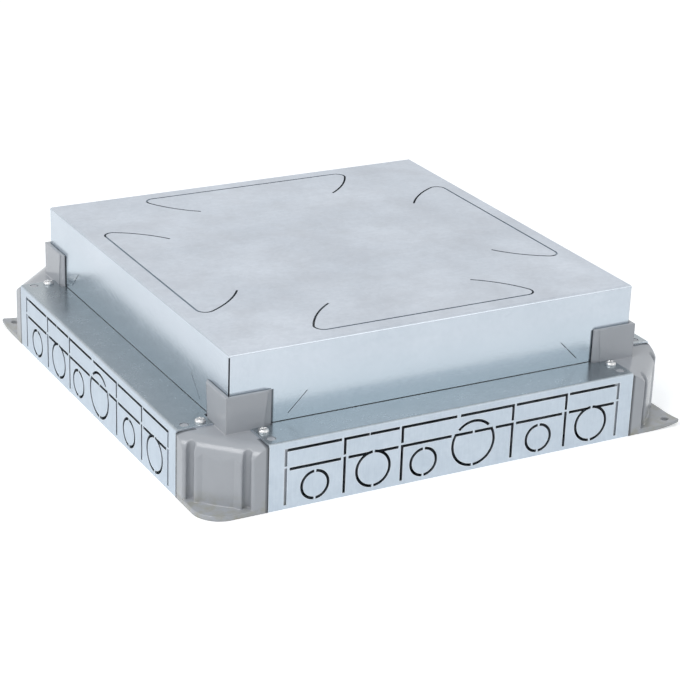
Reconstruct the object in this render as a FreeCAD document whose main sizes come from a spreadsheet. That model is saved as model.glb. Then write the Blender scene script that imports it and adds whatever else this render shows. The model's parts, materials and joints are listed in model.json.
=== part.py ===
import FreeCAD, Part
import math
import os
import Sketcher

# Floor socket box: a square steel box cast into the floor.  Four flanged side
# plates with conduit knock-outs stand on a base plate and are held at the
# corners by plastic mouldings.  A levelling frame rises on four corner screws
# and carries the folded steel cover.
#
# Frame: millimetres, +Z up, front plate towards -Y, left plate towards -X,
# origin at the middle of the underside.

Vector = FreeCAD.Vector
doc = FreeCAD.newDocument("FloorSocketBox")

# ---------------------------------------------------------------- sizes
SIZE = {
    # box
    "box_width": 346.0,          # over the outer faces of opposite side plates
    "corner_reach": 41.8,        # from the box's face to the end of a plate
    "plate_height": 44.6,
    "flange_width": 28.0,        # top flange, measured over the wall
    "foot_flange": 14.0,         # bottom flange, measured inside the wall
    "foot_flange_end": 1.0,      # bottom flange to the moulding's foot
    "plate_sheet": 1.2,
    "plate_bend": 1.6,           # outer radius of the top bend
    "base_sheet": 1.2,
    "seat_gap": 0.1,             # between pieces that sit beside each other
    # knock-outs
    "bar_inset": 11.2,           # outermost knock-out bar in from the plate's end
    "slot_width": 1.9,
    "slot_bottom": 2.6,
    "slot_middle": 26.1,
    "slot_top": 39.8,
    "slot_stop": 1.6,            # the middle slot ends this far from a bar
    "bridge": 1.3,               # uncut metal that holds a knock-out in
    "nick": 0.5,                 # thin bridge in one top slot
    "nick_share": 1.575,         # places below are shares of the conduit pitch
    "conduit_small": 20.0,
    "conduit_medium": 25.0,
    "conduit_large": 32.0,
    "small_inner_share": 0.61,
    "large_share": 0.285,
    # cover
    "cover_sheet": 1.5,
    "cover_bend": 2.2,
    "skirt_height": 49.0,
    "flange_gap": 0.4,           # from the flange to the skirt at the lowest
    "seam_width": 1.0,
    "slit_width": 0.5,
    "slit_run": 13.0,            # across and up, the slit lies at 45 degrees
    "slit_inset": 46.5,          # middle of the slit in from the cover's corner
    "slit_height": 10.5,         # middle of the slit above the skirt's edge
    "flap_inset": 12.0,          # outer slot to the cover's edge
    "flap_round": 6.0,
    "flap_sweep": 79.4,          # radius of the curved side of a flap
    "flap_sweep_side": 7.4,
    "flap_sweep_out": 27.6,      # its middle, beyond the straight cut
    "flap_end_in": 38.0,         # its end, inside the straight cut
    "flap_cut": 1.4,
    # corner mouldings
    "foot_height": 3.0,
    "foot_round": 18.0,
    "foot_reach": 15.2,          # foot under the plate, from the plate's end
    "lip_width": 12.0,
    "pillar_leg": 28.4,
    "pillar_top": 67.2,
    "pillar_wall": 2.6,
    "pillar_gap": 0.3,           # pillar to the cover's skirt
    "pillar_bevel_low": 5.8,
    "pillar_bevel_high": 3.0,
    "pillar_edge": 0.5,
    "pillar_step": 0.5,          # from a pillar's face down to its bevel
    "lobe_flat": 8.7,            # flat face of the lobe beside a plate
    "lobe_round": 2.0,
    "flute_place": 12.7,         # floor of the flute, from the plate's end
    "flute_depth": 7.0,
    "rib_place": 15.6,           # crown of the rib, from the plate's end
    "rib_drop": 4.9,
    "rib_half": 1.2,
    "rib_rise": 0.7,
    "nose_start": 18.6,          # edge of the nose, from the plate's end
    "nose_start_drop": 8.9,
    "nose_drop": 15.4,
    "shoulder_round": 12.0,      # top of the nose, in a section on the diagonal
    "shoulder_gap": 0.1,
    "moulding_wall": 2.5,
    "arm_inset": 2.0,            # arm behind the edge of the foot
    # flange fixings
    "fixing_inset": 5.2,         # fixings in from the plate's end
    "fixing_row": 18.6,          # screw row in from the plate's outer face
    "pin_row": 8.0,              # locating hole in from the outer face
    "pin_hole": 6.0,
    "pin_play": 0.3,             # round each locating pin
    "pin_drop": 0.2,             # pin's end below the flange's top face
    "screw_head": 7.0,
    "screw_head_height": 2.3,
    "screw_shank": 3.0,
    "screw_length": 11.0,
    # ears
    "ear_inset": 7.5,
    "ear_hole": 5.2,
    "ear_reach": 23.0,           # along each edge, where the tip starts to curl
    "ear_curl": 3.0,
    "ear_tip_sheet": 1.2,        # the curled ear thins to this at its tip
    "ear_round": 3.0,
    # levelling gear
    "level_inset": 20.3,         # screw axis in from the pillar's inner face
    "level_shank": 8.0,
    "level_clearance": 0.05,
    "level_foot": 4.0,
    "level_top_gap": 2.5,        # screw end to the cover at the lowest
    "level_collar": 14.0,
    "level_collar_height": 3.0,
    "level_slot": 1.4,
    "level_slot_depth": 2.2,
    "boss_width": 16.0,
    "boss_height": 24.0,
    "boss_web": 2.5,
    # levelling frame
    "rail_sheet": 1.5,
    "rail_depth": 26.5,
    "rail_flange": 10.5,
    "rail_gap": 1.0,
    "lug_sheet": 2.0,
    "lug_width": 29.0,
    "lug_drop": 24.5,
    "lug_hole": 9.4,
    "lug_chamfer": 9.0,
    "nut_width": 13.0,
    "nut_height": 6.5,
    # rivets and earth terminal
    "rivet_shank": 4.0,
    "rivet_head": 7.0,
    "rivet_head_height": 1.0,
    "plate_rivet_inset": 41.2,   # in from the plate's end
    "corner_rivet_inset": 6.5,   # in from the edge of the foot
    "earth_inset": 37.7,         # in from the edge of the base plate
    "earth_side": 30.0,
    "earth_shank": 6.0,
    "earth_height": 20.0,
    "earth_nut_width": 10.0,
    "earth_nut_height": 5.0,
    "earth_washer": 14.0,
    "earth_washer_height": 1.2,
}

# Sizes that follow from the ones above.
SIZE["box_half"] = SIZE["box_width"] / 2
SIZE["plate_half"] = SIZE["box_half"] - SIZE["corner_reach"]
SIZE["plate_length"] = 2 * SIZE["plate_half"]
SIZE["module"] = (SIZE["plate_half"] - SIZE["bar_inset"]) / 3
SIZE["nick_place"] = -SIZE["nick_share"] * SIZE["module"]
SIZE["small_inner_place"] = -SIZE["small_inner_share"] * SIZE["module"]
SIZE["large_place"] = SIZE["large_share"] * SIZE["module"]
SIZE["foot_inner"] = SIZE["plate_half"] - SIZE["foot_reach"]
SIZE["plate_inner"] = SIZE["box_half"] - SIZE["plate_sheet"]
SIZE["flange_edge"] = SIZE["box_half"] - SIZE["flange_width"]
SIZE["flange_under"] = SIZE["plate_height"] - SIZE["plate_sheet"]
SIZE["foot_flange_edge"] = SIZE["plate_inner"] - SIZE["foot_flange"]
SIZE["foot_flange_top"] = SIZE["base_sheet"] + SIZE["plate_sheet"]
SIZE["base_half"] = SIZE["plate_inner"] - SIZE["seat_gap"]
SIZE["base_notch"] = SIZE["foot_inner"] - SIZE["seat_gap"]
SIZE["cover_half"] = SIZE["flange_edge"]
SIZE["cover_width"] = 2 * SIZE["cover_half"]
SIZE["slit_place"] = SIZE["cover_half"] - SIZE["slit_inset"]
SIZE["cover_inner"] = SIZE["cover_half"] - SIZE["cover_sheet"]
SIZE["cover_base"] = SIZE["plate_height"] + SIZE["flange_gap"]
SIZE["cover_top"] = SIZE["cover_base"] + SIZE["skirt_height"]
SIZE["cover_under"] = SIZE["cover_top"] - SIZE["cover_sheet"]
SIZE["skirt_inside"] = SIZE["skirt_height"] - SIZE["cover_sheet"]
SIZE["seam_height"] = SIZE["skirt_height"] - SIZE["cover_bend"]
SIZE["pillar_inner"] = SIZE["cover_half"] + SIZE["pillar_gap"]
SIZE["pillar_outer"] = SIZE["pillar_inner"] + SIZE["pillar_wall"]
SIZE["pillar_start"] = SIZE["cover_half"] - SIZE["pillar_leg"]
SIZE["notch_edge"] = SIZE["pillar_outer"] + SIZE["seat_gap"]
SIZE["notch_start"] = SIZE["pillar_start"] - SIZE["seat_gap"]
SIZE["column_start"] = SIZE["plate_half"] + SIZE["seat_gap"]
SIZE["lip_reach"] = SIZE["pillar_outer"] + SIZE["moulding_wall"]
SIZE["foot_flange_half"] = SIZE["foot_inner"] - SIZE["foot_flange_end"]
SIZE["arm_start"] = SIZE["foot_inner"] + SIZE["arm_inset"]
SIZE["fixing_place"] = SIZE["plate_half"] - SIZE["fixing_inset"]
SIZE["level_place"] = SIZE["pillar_inner"] - SIZE["level_inset"]
SIZE["level_top"] = SIZE["cover_under"] - SIZE["level_top_gap"]
SIZE["plate_rivet_place"] = SIZE["plate_half"] - SIZE["plate_rivet_inset"]
SIZE["corner_rivet_place"] = SIZE["foot_inner"] - SIZE["corner_rivet_inset"]
SIZE["earth_place"] = SIZE["base_half"] - SIZE["earth_inset"]
SIZE["arm_outer"] = SIZE["plate_inner"] - SIZE["seat_gap"]
SIZE["arm_top"] = SIZE["flange_under"]
SIZE["fixing_line"] = SIZE["box_half"] - SIZE["fixing_row"]
SIZE["pin_line"] = SIZE["box_half"] - SIZE["pin_row"]
SIZE["pin_top"] = SIZE["plate_height"] - SIZE["pin_drop"]
SIZE["ear_place"] = SIZE["box_half"] - SIZE["ear_inset"]
SIZE["rail_outer"] = SIZE["cover_inner"] - SIZE["rail_gap"]
SIZE["rail_inner"] = SIZE["rail_outer"] - SIZE["rail_sheet"]
SIZE["rail_flange_edge"] = SIZE["rail_outer"] - SIZE["rail_flange"]
SIZE["rail_under"] = SIZE["cover_under"] - SIZE["rail_sheet"]
SIZE["rail_bottom"] = SIZE["cover_under"] - SIZE["rail_depth"]
SIZE["lug_outer"] = SIZE["rail_inner"]
SIZE["lug_inner"] = SIZE["lug_outer"] - SIZE["lug_width"]
SIZE["lug_wall_inner"] = SIZE["lug_outer"] - SIZE["lug_sheet"]
SIZE["lug_bottom"] = SIZE["rail_under"] - SIZE["lug_drop"]
SIZE["level_bore"] = SIZE["level_shank"] / 2 + SIZE["level_clearance"]
SIZE["lip_bottom"] = SIZE["base_sheet"]
SIZE["lip_start"] = SIZE["foot_inner"] - SIZE["lip_width"]

# ---------------------------------------------------------------- the sheet
sheet = doc.addObject("Spreadsheet::Sheet", "Sizes")
for row, (name, number) in enumerate(SIZE.items(), start=1):
    sheet.set(f"A{row}", name)
    sheet.set(f"B{row}", str(round(number, 6)))
    sheet.setAlias(f"B{row}", name)
doc.recompute()


# ---------------------------------------------------------------- helpers
def number_of(term):
    """A term is a number, the name of a size, or such a name after a minus."""
    if not isinstance(term, str):
        return term
    return -SIZE[term[1:]] if term.startswith("-") else SIZE[term]


def bound(term):
    """The sheet expression of a term."""
    if not isinstance(term, str):
        return str(term)
    return f"-Sizes.{term[1:]}" if term.startswith("-") else f"Sizes.{term}"


def bind(thing, **terms):
    """Tie properties of a document object to terms."""
    for name, term in terms.items():
        thing.setExpression(name, bound(term))


def placed(x, y, z, turn=0.0):
    rotation = FreeCAD.Rotation(Vector(0, 0, 1), turn)
    return FreeCAD.Placement(Vector(x, y, z), rotation)


def new_body(label, turn=0.0):
    body = doc.addObject("PartDesign::Body", label)
    body.Label = label
    body.Placement = placed(0, 0, 0, turn)
    return body


def sketch_on(body, name, role, height=None):
    """A sketch on one of the body's own origin planes, raised by a term."""
    sketch = body.newObject("Sketcher::SketchObject", name)
    plane = [item for item in body.Origin.OriginFeatures if item.Role == role][0]
    sketch.AttachmentSupport = (plane, [""])
    sketch.MapMode = "FlatFace"
    if height is not None:
        sketch.AttachmentOffset = placed(0, 0, number_of(height))
        sketch.setExpression("AttachmentOffset.Base.z", bound(height))
    return sketch


def outline(sketch, *corners):
    """A closed outline whose corners are terms, each one tied to the sheet."""
    points = [Vector(number_of(x), number_of(y), 0) for x, y in corners]
    first = sketch.GeometryCount
    count = len(points)
    for index, point in enumerate(points):
        sketch.addGeometry(Part.LineSegment(point, points[(index + 1) % count]))
    for index, (x, y) in enumerate(corners):
        after = first + (index + 1) % count
        sketch.addConstraint(Sketcher.Constraint("Coincident", first + index, 2, after, 1))
    for index, corner in enumerate(corners):
        for kind, term in zip(("DistanceX", "DistanceY"), corner):
            rule = Sketcher.Constraint(kind, -1, 1, first + index, 1, number_of(term))
            place = sketch.addConstraint(rule)
            if isinstance(term, str):
                sketch.setExpression(f"Constraints[{place}]", bound(term))
    return sketch


def circle(sketch, x, y, diameter):
    """A circle tied to the sheet by its centre and diameter."""
    centre = Vector(number_of(x), number_of(y), 0)
    item = sketch.addGeometry(Part.Circle(centre, Vector(0, 0, 1), number_of(diameter) / 2))
    for kind, term in (("DistanceX", x), ("DistanceY", y)):
        rule = Sketcher.Constraint(kind, -1, 1, item, 3, number_of(term))
        place = sketch.addConstraint(rule)
        sketch.setExpression(f"Constraints[{place}]", bound(term))
    place = sketch.addConstraint(Sketcher.Constraint("Diameter", item, number_of(diameter)))
    sketch.setExpression(f"Constraints[{place}]", bound(diameter))


def closed_chain(sketch, edges):
    """Free curves joined end to end."""
    for edge in edges:
        sketch.addGeometry(edge)


def arc(start, middle, end):
    return Part.Arc(Vector(*start, 0), Vector(*middle, 0), Vector(*end, 0))


def line(start, end):
    return Part.LineSegment(Vector(*start, 0), Vector(*end, 0))


def pad(body, sketch, length, midplane=False, reverse=False):
    feature = body.newObject("PartDesign::Pad", sketch.Name + "Pad")
    feature.Profile = sketch
    feature.Length = number_of(length)
    bind(feature, Length=length)
    feature.Midplane = midplane
    feature.Reversed = reverse
    sketch.Visibility = False
    return feature


def pocket(body, sketch, length=None, midplane=False, reverse=False):
    """A pocket to a depth, or through everything."""
    feature = body.newObject("PartDesign::Pocket", sketch.Name + "Pocket")
    feature.Profile = sketch
    if length is None:
        feature.Type = "ThroughAll"
    else:
        feature.Length = number_of(length)
        bind(feature, Length=length)
    feature.Midplane = midplane
    feature.Reversed = reverse
    return feature


def fillet(body, base, edges, radius):
    feature = body.newObject("PartDesign::Fillet", base.Name + "Fillet")
    feature.Base = (base, edges)
    bind(feature, Radius=radius)
    return feature


def edges_where(shape, test):
    """Names of the edges whose middle point passes a test."""
    names = []
    for index, edge in enumerate(shape.Edges, start=1):
        middle = edge.valueAt((edge.FirstParameter + edge.LastParameter) / 2)
        if test(edge, middle):
            names.append(f"Edge{index}")
    return names


def near(value, term):
    return abs(value - number_of(term)) < 0.01


# ---------------------------------------------------------------- base plate
def base_plate():
    body = new_body("base_plate")
    sketch = sketch_on(body, "BasePlateOutline", "XY_Plane")
    outline(
        sketch,
        ("base_half", "-base_notch"), ("base_half", "base_notch"),
        ("base_notch", "base_notch"), ("base_notch", "base_half"),
        ("-base_notch", "base_half"), ("-base_notch", "base_notch"),
        ("-base_half", "base_notch"), ("-base_half", "-base_notch"),
        ("-base_notch", "-base_notch"), ("-base_notch", "-base_half"),
        ("base_notch", "-base_half"), ("base_notch", "-base_notch"),
    )
    pad(body, sketch, "base_sheet")
    holes = sketch_on(body, "BasePlateHoles", "XY_Plane")
    for x, y in plate_rivet_places() + corner_rivet_places():
        loose_circle(holes, x, y, SIZE["rivet_shank"] / 2)
    loose_circle(holes, SIZE["earth_side"], SIZE["earth_place"], SIZE["earth_shank"] / 2)
    pocket(body, holes, "base_sheet", reverse=True)
    return body


def loose_circle(sketch, x, y, radius):
    sketch.addGeometry(Part.Circle(Vector(x, y, 0), Vector(0, 0, 1), radius))


def turned(x, y, quarter):
    """A point turned by whole quarter turns about the vertical axis."""
    for _ in range(quarter % 4):
        x, y = -y, x
    return x, y


def plate_rivet_places():
    row = SIZE["plate_inner"] - SIZE["foot_flange"] / 2
    side = SIZE["plate_rivet_place"]
    return [turned(place, row, quarter) for quarter in range(4) for place in (-side, side)]


def corner_rivet_places():
    place = SIZE["corner_rivet_place"]
    return [turned(place, place, quarter) for quarter in range(4)]


# ---------------------------------------------------------------- side plates
def bar_places():
    """Upright slots on the conduit grid, none on the middle line."""
    return [side * step * SIZE["module"] for side in (-1, 1) for step in (1, 2, 3)]


def ring_places():
    """Each conduit knock-out: place along the plate and diameter."""
    half = SIZE["module"] / 2
    return [
        (-5 * half, SIZE["conduit_small"]),
        (-3 * half, SIZE["conduit_medium"]),
        (SIZE["small_inner_place"], SIZE["conduit_small"]),
        (SIZE["large_place"], SIZE["conduit_large"]),
        (3 * half, SIZE["conduit_small"]),
        (5 * half, SIZE["conduit_medium"]),
    ]


def box_slot(sketch, left, right, low, high):
    corners = [(left, low), (right, low), (right, high), (left, high)]
    closed_chain(sketch, [line(corners[i], corners[(i + 1) % 4]) for i in range(4)])


def ring_slot(sketch, place, height, radius, width, start, end):
    """A curved slot from one angle to another, in degrees."""
    def at(reach, angle):
        turn = math.radians(angle)
        return (place + reach * math.cos(turn), height + reach * math.sin(turn))

    middle = (start + end) / 2
    outer = radius + width / 2
    inner = radius - width / 2
    closed_chain(sketch, [
        arc(at(outer, start), at(outer, middle), at(outer, end)),
        line(at(outer, end), at(inner, end)),
        arc(at(inner, end), at(inner, middle), at(inner, start)),
        line(at(inner, start), at(outer, start)),
    ])


def crossing(diameter):
    """How far from its middle a ring meets the middle slot; None where it doesn't."""
    radius = (diameter - SIZE["slot_width"]) / 2
    rise = SIZE["slot_middle"] - SIZE["slot_bottom"] - diameter / 2
    return math.sqrt(radius ** 2 - rise ** 2) if rise < radius else None


def ring_slots(sketch):
    """Two half rings for each knock-out; the large one opens at the middle slot."""
    width = SIZE["slot_width"]
    for place, diameter in ring_places():
        radius = (diameter - width) / 2
        height = SIZE["slot_bottom"] + diameter / 2
        half_gap = math.degrees(SIZE["bridge"] / radius) / 2
        spans = [(-90 + half_gap, 90 - half_gap), (90 + half_gap, 270 - half_gap)]
        if diameter == SIZE["conduit_large"]:
            level = SIZE["slot_middle"] - height
            low = math.degrees(math.asin(level / radius))
            high = math.degrees(
                math.asin((level + width / 2 + SIZE["bridge"]) / (radius - width / 2)))
            spans = [(high, 180 - high), (180 - low, 270 - half_gap), (-90 + half_gap, low)]
        for start, end in spans:
            ring_slot(sketch, place, height, radius, width, start, end)


def bar_slots(sketch):
    """Upright slots, each held in by a bridge above the middle slot."""
    half = SIZE["slot_width"] / 2
    middle = SIZE["slot_middle"] + half
    for place in bar_places():
        left, right = place - half, place + half
        box_slot(sketch, left, right, SIZE["slot_bottom"], middle)
        box_slot(sketch, left, right, middle + SIZE["bridge"], SIZE["slot_top"])


def middle_slots(sketch):
    """Level slots part of the way up, broken where they meet an upright or a ring."""
    half = SIZE["slot_width"] / 2
    stop = SIZE["slot_stop"] + half
    outer, second, first = sorted(bar_places())[:3]
    medium = crossing(SIZE["conduit_medium"])
    large = crossing(SIZE["conduit_large"])
    middle = SIZE["large_place"]
    clear = math.sqrt((SIZE["conduit_large"] / 2) ** 2
                      - (large * math.tan(math.radians(25))) ** 2) + SIZE["bridge"]
    rings = [place for place, diameter in ring_places() if diameter == SIZE["conduit_medium"]]
    for left, right in (
        (outer + stop, second - stop),
        (second + stop, rings[0] - medium),
        (rings[0] + medium, first - stop),
        (first, middle - clear),
        (middle - large - half, middle - SIZE["bridge"] / 2),
        (middle + SIZE["bridge"] / 2, middle + large + half),
        (middle + clear, -first),
        (-first + stop, -second - stop),
        (-second + stop, rings[1] - medium),
        (rings[1] + medium, -outer - stop),
    ):
        box_slot(sketch, left, right, SIZE["slot_middle"] - half, SIZE["slot_middle"] + half)


def top_slots(sketch):
    """Level slots near the top. Each joins the upright at its outer end."""
    half = SIZE["slot_width"] / 2
    low = SIZE["slot_top"] - SIZE["slot_width"]
    gap = half + SIZE["bridge"]
    outer, second, first = sorted(bar_places())[:3]
    nick = SIZE["nick_place"]
    for left, right in (
        (outer - half, second - gap),
        (second - half, nick - SIZE["nick"] / 2),
        (nick + SIZE["nick"] / 2, first - gap),
        (first - half, -SIZE["bridge"]),
        (SIZE["bridge"], -first + half),
        (-first + gap, -second + half),
        (-second + gap, -outer + half),
    ):
        box_slot(sketch, left, right, low, SIZE["slot_top"])


def side_plate(label, turn):
    """A folded plate; drawn as the front one and turned to its side."""
    body = new_body(label, turn)
    profile = sketch_on(body, "Profile", "YZ_Plane")
    outline(
        profile,
        ("-box_half", 0), ("-box_half", "plate_height"), ("-flange_edge", "plate_height"),
        ("-flange_edge", "flange_under"), ("-plate_inner", "flange_under"),
        ("-plate_inner", "foot_flange_top"), ("-foot_flange_edge", "foot_flange_top"),
        ("-foot_flange_edge", "base_sheet"), ("-plate_inner", "base_sheet"),
        ("-plate_inner", 0),
    )
    plate = pad(body, profile, "plate_length", midplane=True)
    doc.recompute()
    bends = edges_where(plate.Shape, lambda edge, middle: near(middle.y, "-box_half")
                        and near(middle.z, "plate_height"))
    fillet(body, plate, bends, "plate_bend")

    for name, slots in (("Rings", ring_slots), ("Uprights", bar_slots),
                        ("MiddleSlots", middle_slots), ("TopSlots", top_slots)):
        cuts = sketch_on(body, name, "XZ_Plane", height="flange_edge")
        slots(cuts)
        pocket(body, cuts, "flange_width", reverse=True)

    holes = sketch_on(body, "FlangeHoles", "XY_Plane", height="plate_height")
    for side in ("-fixing_place", "fixing_place"):
        circle(holes, side, "-fixing_line", "screw_shank")
        circle(holes, side, "-pin_line", "pin_hole")
    pocket(body, holes, "plate_bend")

    ends = sketch_on(body, "PillarNotches", "XY_Plane", height="plate_height")
    for side in ("", "-"):
        outline(ends, (side + "notch_start", "-notch_edge"), (side + "box_half", "-notch_edge"),
                (side + "box_half", 0), (side + "notch_start", 0))
    pocket(body, ends, "plate_bend")

    feet = sketch_on(body, "FootEnds", "XY_Plane", height="foot_flange_top")
    for side in (-1, 1):
        left, right = sorted((side * SIZE["foot_flange_half"], side * SIZE["box_half"]))
        box_slot(feet, left, right, -SIZE["plate_inner"], 0)
    rivets = sketch_on(body, "RivetHoles", "XY_Plane", height="foot_flange_top")
    row = SIZE["plate_inner"] - SIZE["foot_flange"] / 2
    for side in (-1, 1):
        loose_circle(rivets, side * SIZE["plate_rivet_place"], -row, SIZE["rivet_shank"] / 2)
    pocket(body, feet, "foot_flange_top")
    pocket(body, rivets, "foot_flange_top")
    return body


# ---------------------------------------------------------------- rivets, screws
def joined(label, parts):
    """Several separate solids in one object."""
    group = doc.addObject("Part::Compound", label)
    group.Label = label
    group.Links = parts
    return group


def headed_pin(name, x, y, low, seat, shank, head, head_height):
    """A revolved pin: a shank up to the seat and a chamfered head above it."""
    sketch = doc.addObject("Sketcher::SketchObject", name + "Profile")
    sketch.Placement = FreeCAD.Placement(Vector(x, y, 0), FreeCAD.Rotation(Vector(1, 0, 0), 90))
    half = number_of(shank) / 2
    rim = number_of(head) / 2
    top = seat + number_of(head_height)
    chamfer = number_of(head_height) / 2
    points = [(0, low), (half, low), (half, seat), (rim, seat), (rim, top - chamfer),
              (rim - chamfer, top), (0, top)]
    count = len(points)
    closed_chain(sketch, [line(points[i], points[(i + 1) % count]) for i in range(count)])
    pin = doc.addObject("Part::Revolution", name)
    pin.Source = sketch
    pin.Axis = Vector(0, 0, 1)
    pin.Base = Vector(x, y, 0)
    pin.Angle = 360
    pin.Solid = True
    return pin


def plate_rivets():
    pins = []
    for index, (x, y) in enumerate(plate_rivet_places()):
        pins.append(headed_pin(f"PlateRivet{index}", x, y, 0.0, SIZE["foot_flange_top"],
                               "rivet_shank", "rivet_head", "rivet_head_height"))
    return joined("plate_rivets", pins)


def corner_rivets():
    pins = []
    for index, (x, y) in enumerate(corner_rivet_places()):
        pins.append(headed_pin(f"CornerRivet{index}", x, y, 0.0, SIZE["foot_height"],
                               "rivet_shank", "rivet_head", "rivet_head_height"))
    return joined("corner_rivets", pins)


def flange_screws():
    """Screws through the flange ends into the mouldings."""
    screws = []
    for quarter in range(4):
        for side in (-1, 1):
            x, y = turned(side * SIZE["fixing_place"], SIZE["fixing_line"], quarter)
            screws.append(headed_pin(
                f"FlangeScrew{len(screws)}", x, y, SIZE["plate_height"] - SIZE["screw_length"],
                SIZE["plate_height"], "screw_shank", "screw_head", "screw_head_height"))
    return joined("flange_screws", screws)


# ---------------------------------------------------------------- corner mouldings
# Drawn in the corner where x and y are both positive, and turned to its place.
def flat_sketch(name, height=0.0):
    sketch = doc.addObject("Sketcher::SketchObject", name)
    sketch.Placement = placed(0, 0, number_of(height))
    sketch.setExpression("Placement.Base.z", bound(height))
    return sketch


def raised(name, sketch, height):
    """A sketch drawn up into a solid."""
    solid = doc.addObject("Part::Extrusion", name)
    solid.Base = sketch
    solid.DirMode = "Normal"
    solid.Solid = True
    bind(solid, LengthFwd=height)
    return solid


def fused(name, parts):
    whole = doc.addObject("Part::MultiFuse", name)
    whole.Shapes = parts
    return whole


def block(name, x, y, z, length, width, height):
    """A box between terms or numbers; the last three are end positions."""
    box = doc.addObject("Part::Box", name)
    box.Placement = placed(number_of(x), number_of(y), number_of(z))
    box.setExpression("Placement.Base.x", bound(x))
    box.setExpression("Placement.Base.y", bound(y))
    box.setExpression("Placement.Base.z", bound(z))
    box.setExpression("Length", f"{bound(length)} - ({bound(x)})")
    box.setExpression("Width", f"{bound(width)} - ({bound(y)})")
    box.setExpression("Height", f"{bound(height)} - ({bound(z)})")
    return box


def post(name, x, y, z, radius, height):
    """An upright cylinder; the height is an end position."""
    cylinder = doc.addObject("Part::Cylinder", name)
    cylinder.Placement = placed(number_of(x), number_of(y), number_of(z))
    cylinder.setExpression("Placement.Base.x", bound(x))
    cylinder.setExpression("Placement.Base.y", bound(y))
    cylinder.setExpression("Placement.Base.z", bound(z))
    cylinder.setExpression("Radius", radius)
    cylinder.setExpression("Height", f"{bound(height)} - ({bound(z)})")
    return cylinder


def foot_outline(sketch, corner_radius):
    """The moulding's foot: it fills the corner and slips behind the plates."""
    inner = SIZE["foot_inner"]
    behind = SIZE["arm_outer"]
    start = SIZE["column_start"]
    edge = SIZE["box_half"]
    turn = edge - corner_radius
    middle = turn + corner_radius * math.sqrt(0.5)
    closed_chain(sketch, [
        line((inner, inner), (behind, inner)),
        line((behind, inner), (behind, start)),
        line((behind, start), (edge, start)),
        line((edge, start), (edge, turn)),
        arc((edge, turn), (middle, middle), (turn, edge)),
        line((turn, edge), (start, edge)),
        line((start, edge), (start, behind)),
        line((start, behind), (inner, behind)),
        line((inner, behind), (inner, inner)),
    ])


def foot_outline_cut(sketch, reach):
    """The foot of an eared moulding, cut off where the ear's tip curls up."""
    inner = SIZE["foot_inner"]
    behind = SIZE["arm_outer"]
    start = SIZE["column_start"]
    edge = SIZE["box_half"]
    points = [
        (inner, inner), (behind, inner), (behind, start), (edge, start),
        (edge, edge - reach), (edge - reach, edge), (start, edge), (start, behind),
        (inner, behind),
    ]
    count = len(points)
    closed_chain(sketch, [line(points[i], points[(i + 1) % count]) for i in range(count)])


def column_outline(sketch):
    """The fluted column: a lobe beside each plate, a flute, a rib and a broad nose."""
    start = SIZE["column_start"]
    edge = SIZE["box_half"] - SIZE["seat_gap"]
    inner = SIZE["pillar_inner"]
    flat = start + SIZE["lobe_flat"]
    turn = SIZE["lobe_round"]
    lobe_end = (flat + turn, edge - turn)
    lobe_middle = (flat + turn * math.sqrt(0.5), edge - turn * (1 - math.sqrt(0.5)))
    floor = (start + SIZE["flute_place"], edge - SIZE["flute_depth"])
    rib = (start + SIZE["rib_place"], edge - SIZE["rib_drop"])
    rib_low = rib[1] - SIZE["rib_rise"]
    rib_start = (rib[0] - SIZE["rib_half"], rib_low)
    rib_end = (rib[0] + SIZE["rib_half"], rib_low)
    nose_start = (start + SIZE["nose_start"], edge - SIZE["nose_start_drop"])
    nose = edge - SIZE["nose_drop"]

    def flipped(point):
        return (point[1], point[0])

    half = [
        arc((flat, edge), lobe_middle, lobe_end),
        arc(lobe_end, floor, rib_start),
        arc(rib_start, rib, rib_end),
        line(rib_end, nose_start),
    ]
    other_half = [
        line(flipped(nose_start), flipped(rib_end)),
        arc(flipped(rib_end), flipped(rib), flipped(rib_start)),
        arc(flipped(rib_start), flipped(floor), flipped(lobe_end)),
        arc(flipped(lobe_end), flipped(lobe_middle), (edge, flat)),
    ]
    closed_chain(sketch, [
        line((start, inner), (start, edge)),
        line((start, edge), (flat, edge)),
        *half,
        arc(nose_start, (nose, nose), flipped(nose_start)),
        *other_half,
        line((edge, flat), (edge, start)),
        line((edge, start), (inner, start)),
        line((inner, start), (inner, inner)),
        line((inner, inner), (start, inner)),
    ])


def on_diagonal(name, pieces, half_width):
    """A section drawn on the corner's diagonal, made solid to both sides of it."""
    section = doc.addObject("Sketcher::SketchObject", name + "Section")
    closed_chain(section, pieces)
    across = FreeCAD.Rotation(Vector(0, 0, 1), 45).multiply(
        FreeCAD.Rotation(Vector(1, 0, 0), 90))
    shift = Vector(-math.sqrt(0.5), math.sqrt(0.5), 0) * half_width
    section.Placement = FreeCAD.Placement(shift, across)
    strip = doc.addObject("Part::Extrusion", name)
    strip.Base = section
    strip.DirMode = "Normal"
    strip.Solid = True
    strip.LengthFwd = 2 * half_width
    return strip


def shoulder_end():
    """Distance of the column's foremost point along the diagonal."""
    nose = SIZE["box_half"] - SIZE["seat_gap"] - SIZE["nose_drop"]
    return nose * math.sqrt(2) + SIZE["shoulder_gap"]


def shoulder(name):
    """What rounds off the column's top towards the corner."""
    top = SIZE["flange_under"]
    turn = SIZE["shoulder_round"]
    end = shoulder_end()
    start = (SIZE["column_start"] + SIZE["pillar_inner"]) * math.sqrt(0.5) - 1
    rest = turn * (1 - math.sqrt(0.5))
    return on_diagonal(name, [
        line((start, 0), (end, 0)),
        line((end, 0), (end, top - turn)),
        arc((end, top - turn), (end - rest, top - rest), (end - turn, top)),
        line((end - turn, top), (start, top)),
        line((start, top), (start, 0)),
    ], SIZE["box_half"])


def common(name, first, second):
    both = doc.addObject("Part::MultiCommon", name)
    both.Shapes = [first, second]
    return both


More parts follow.
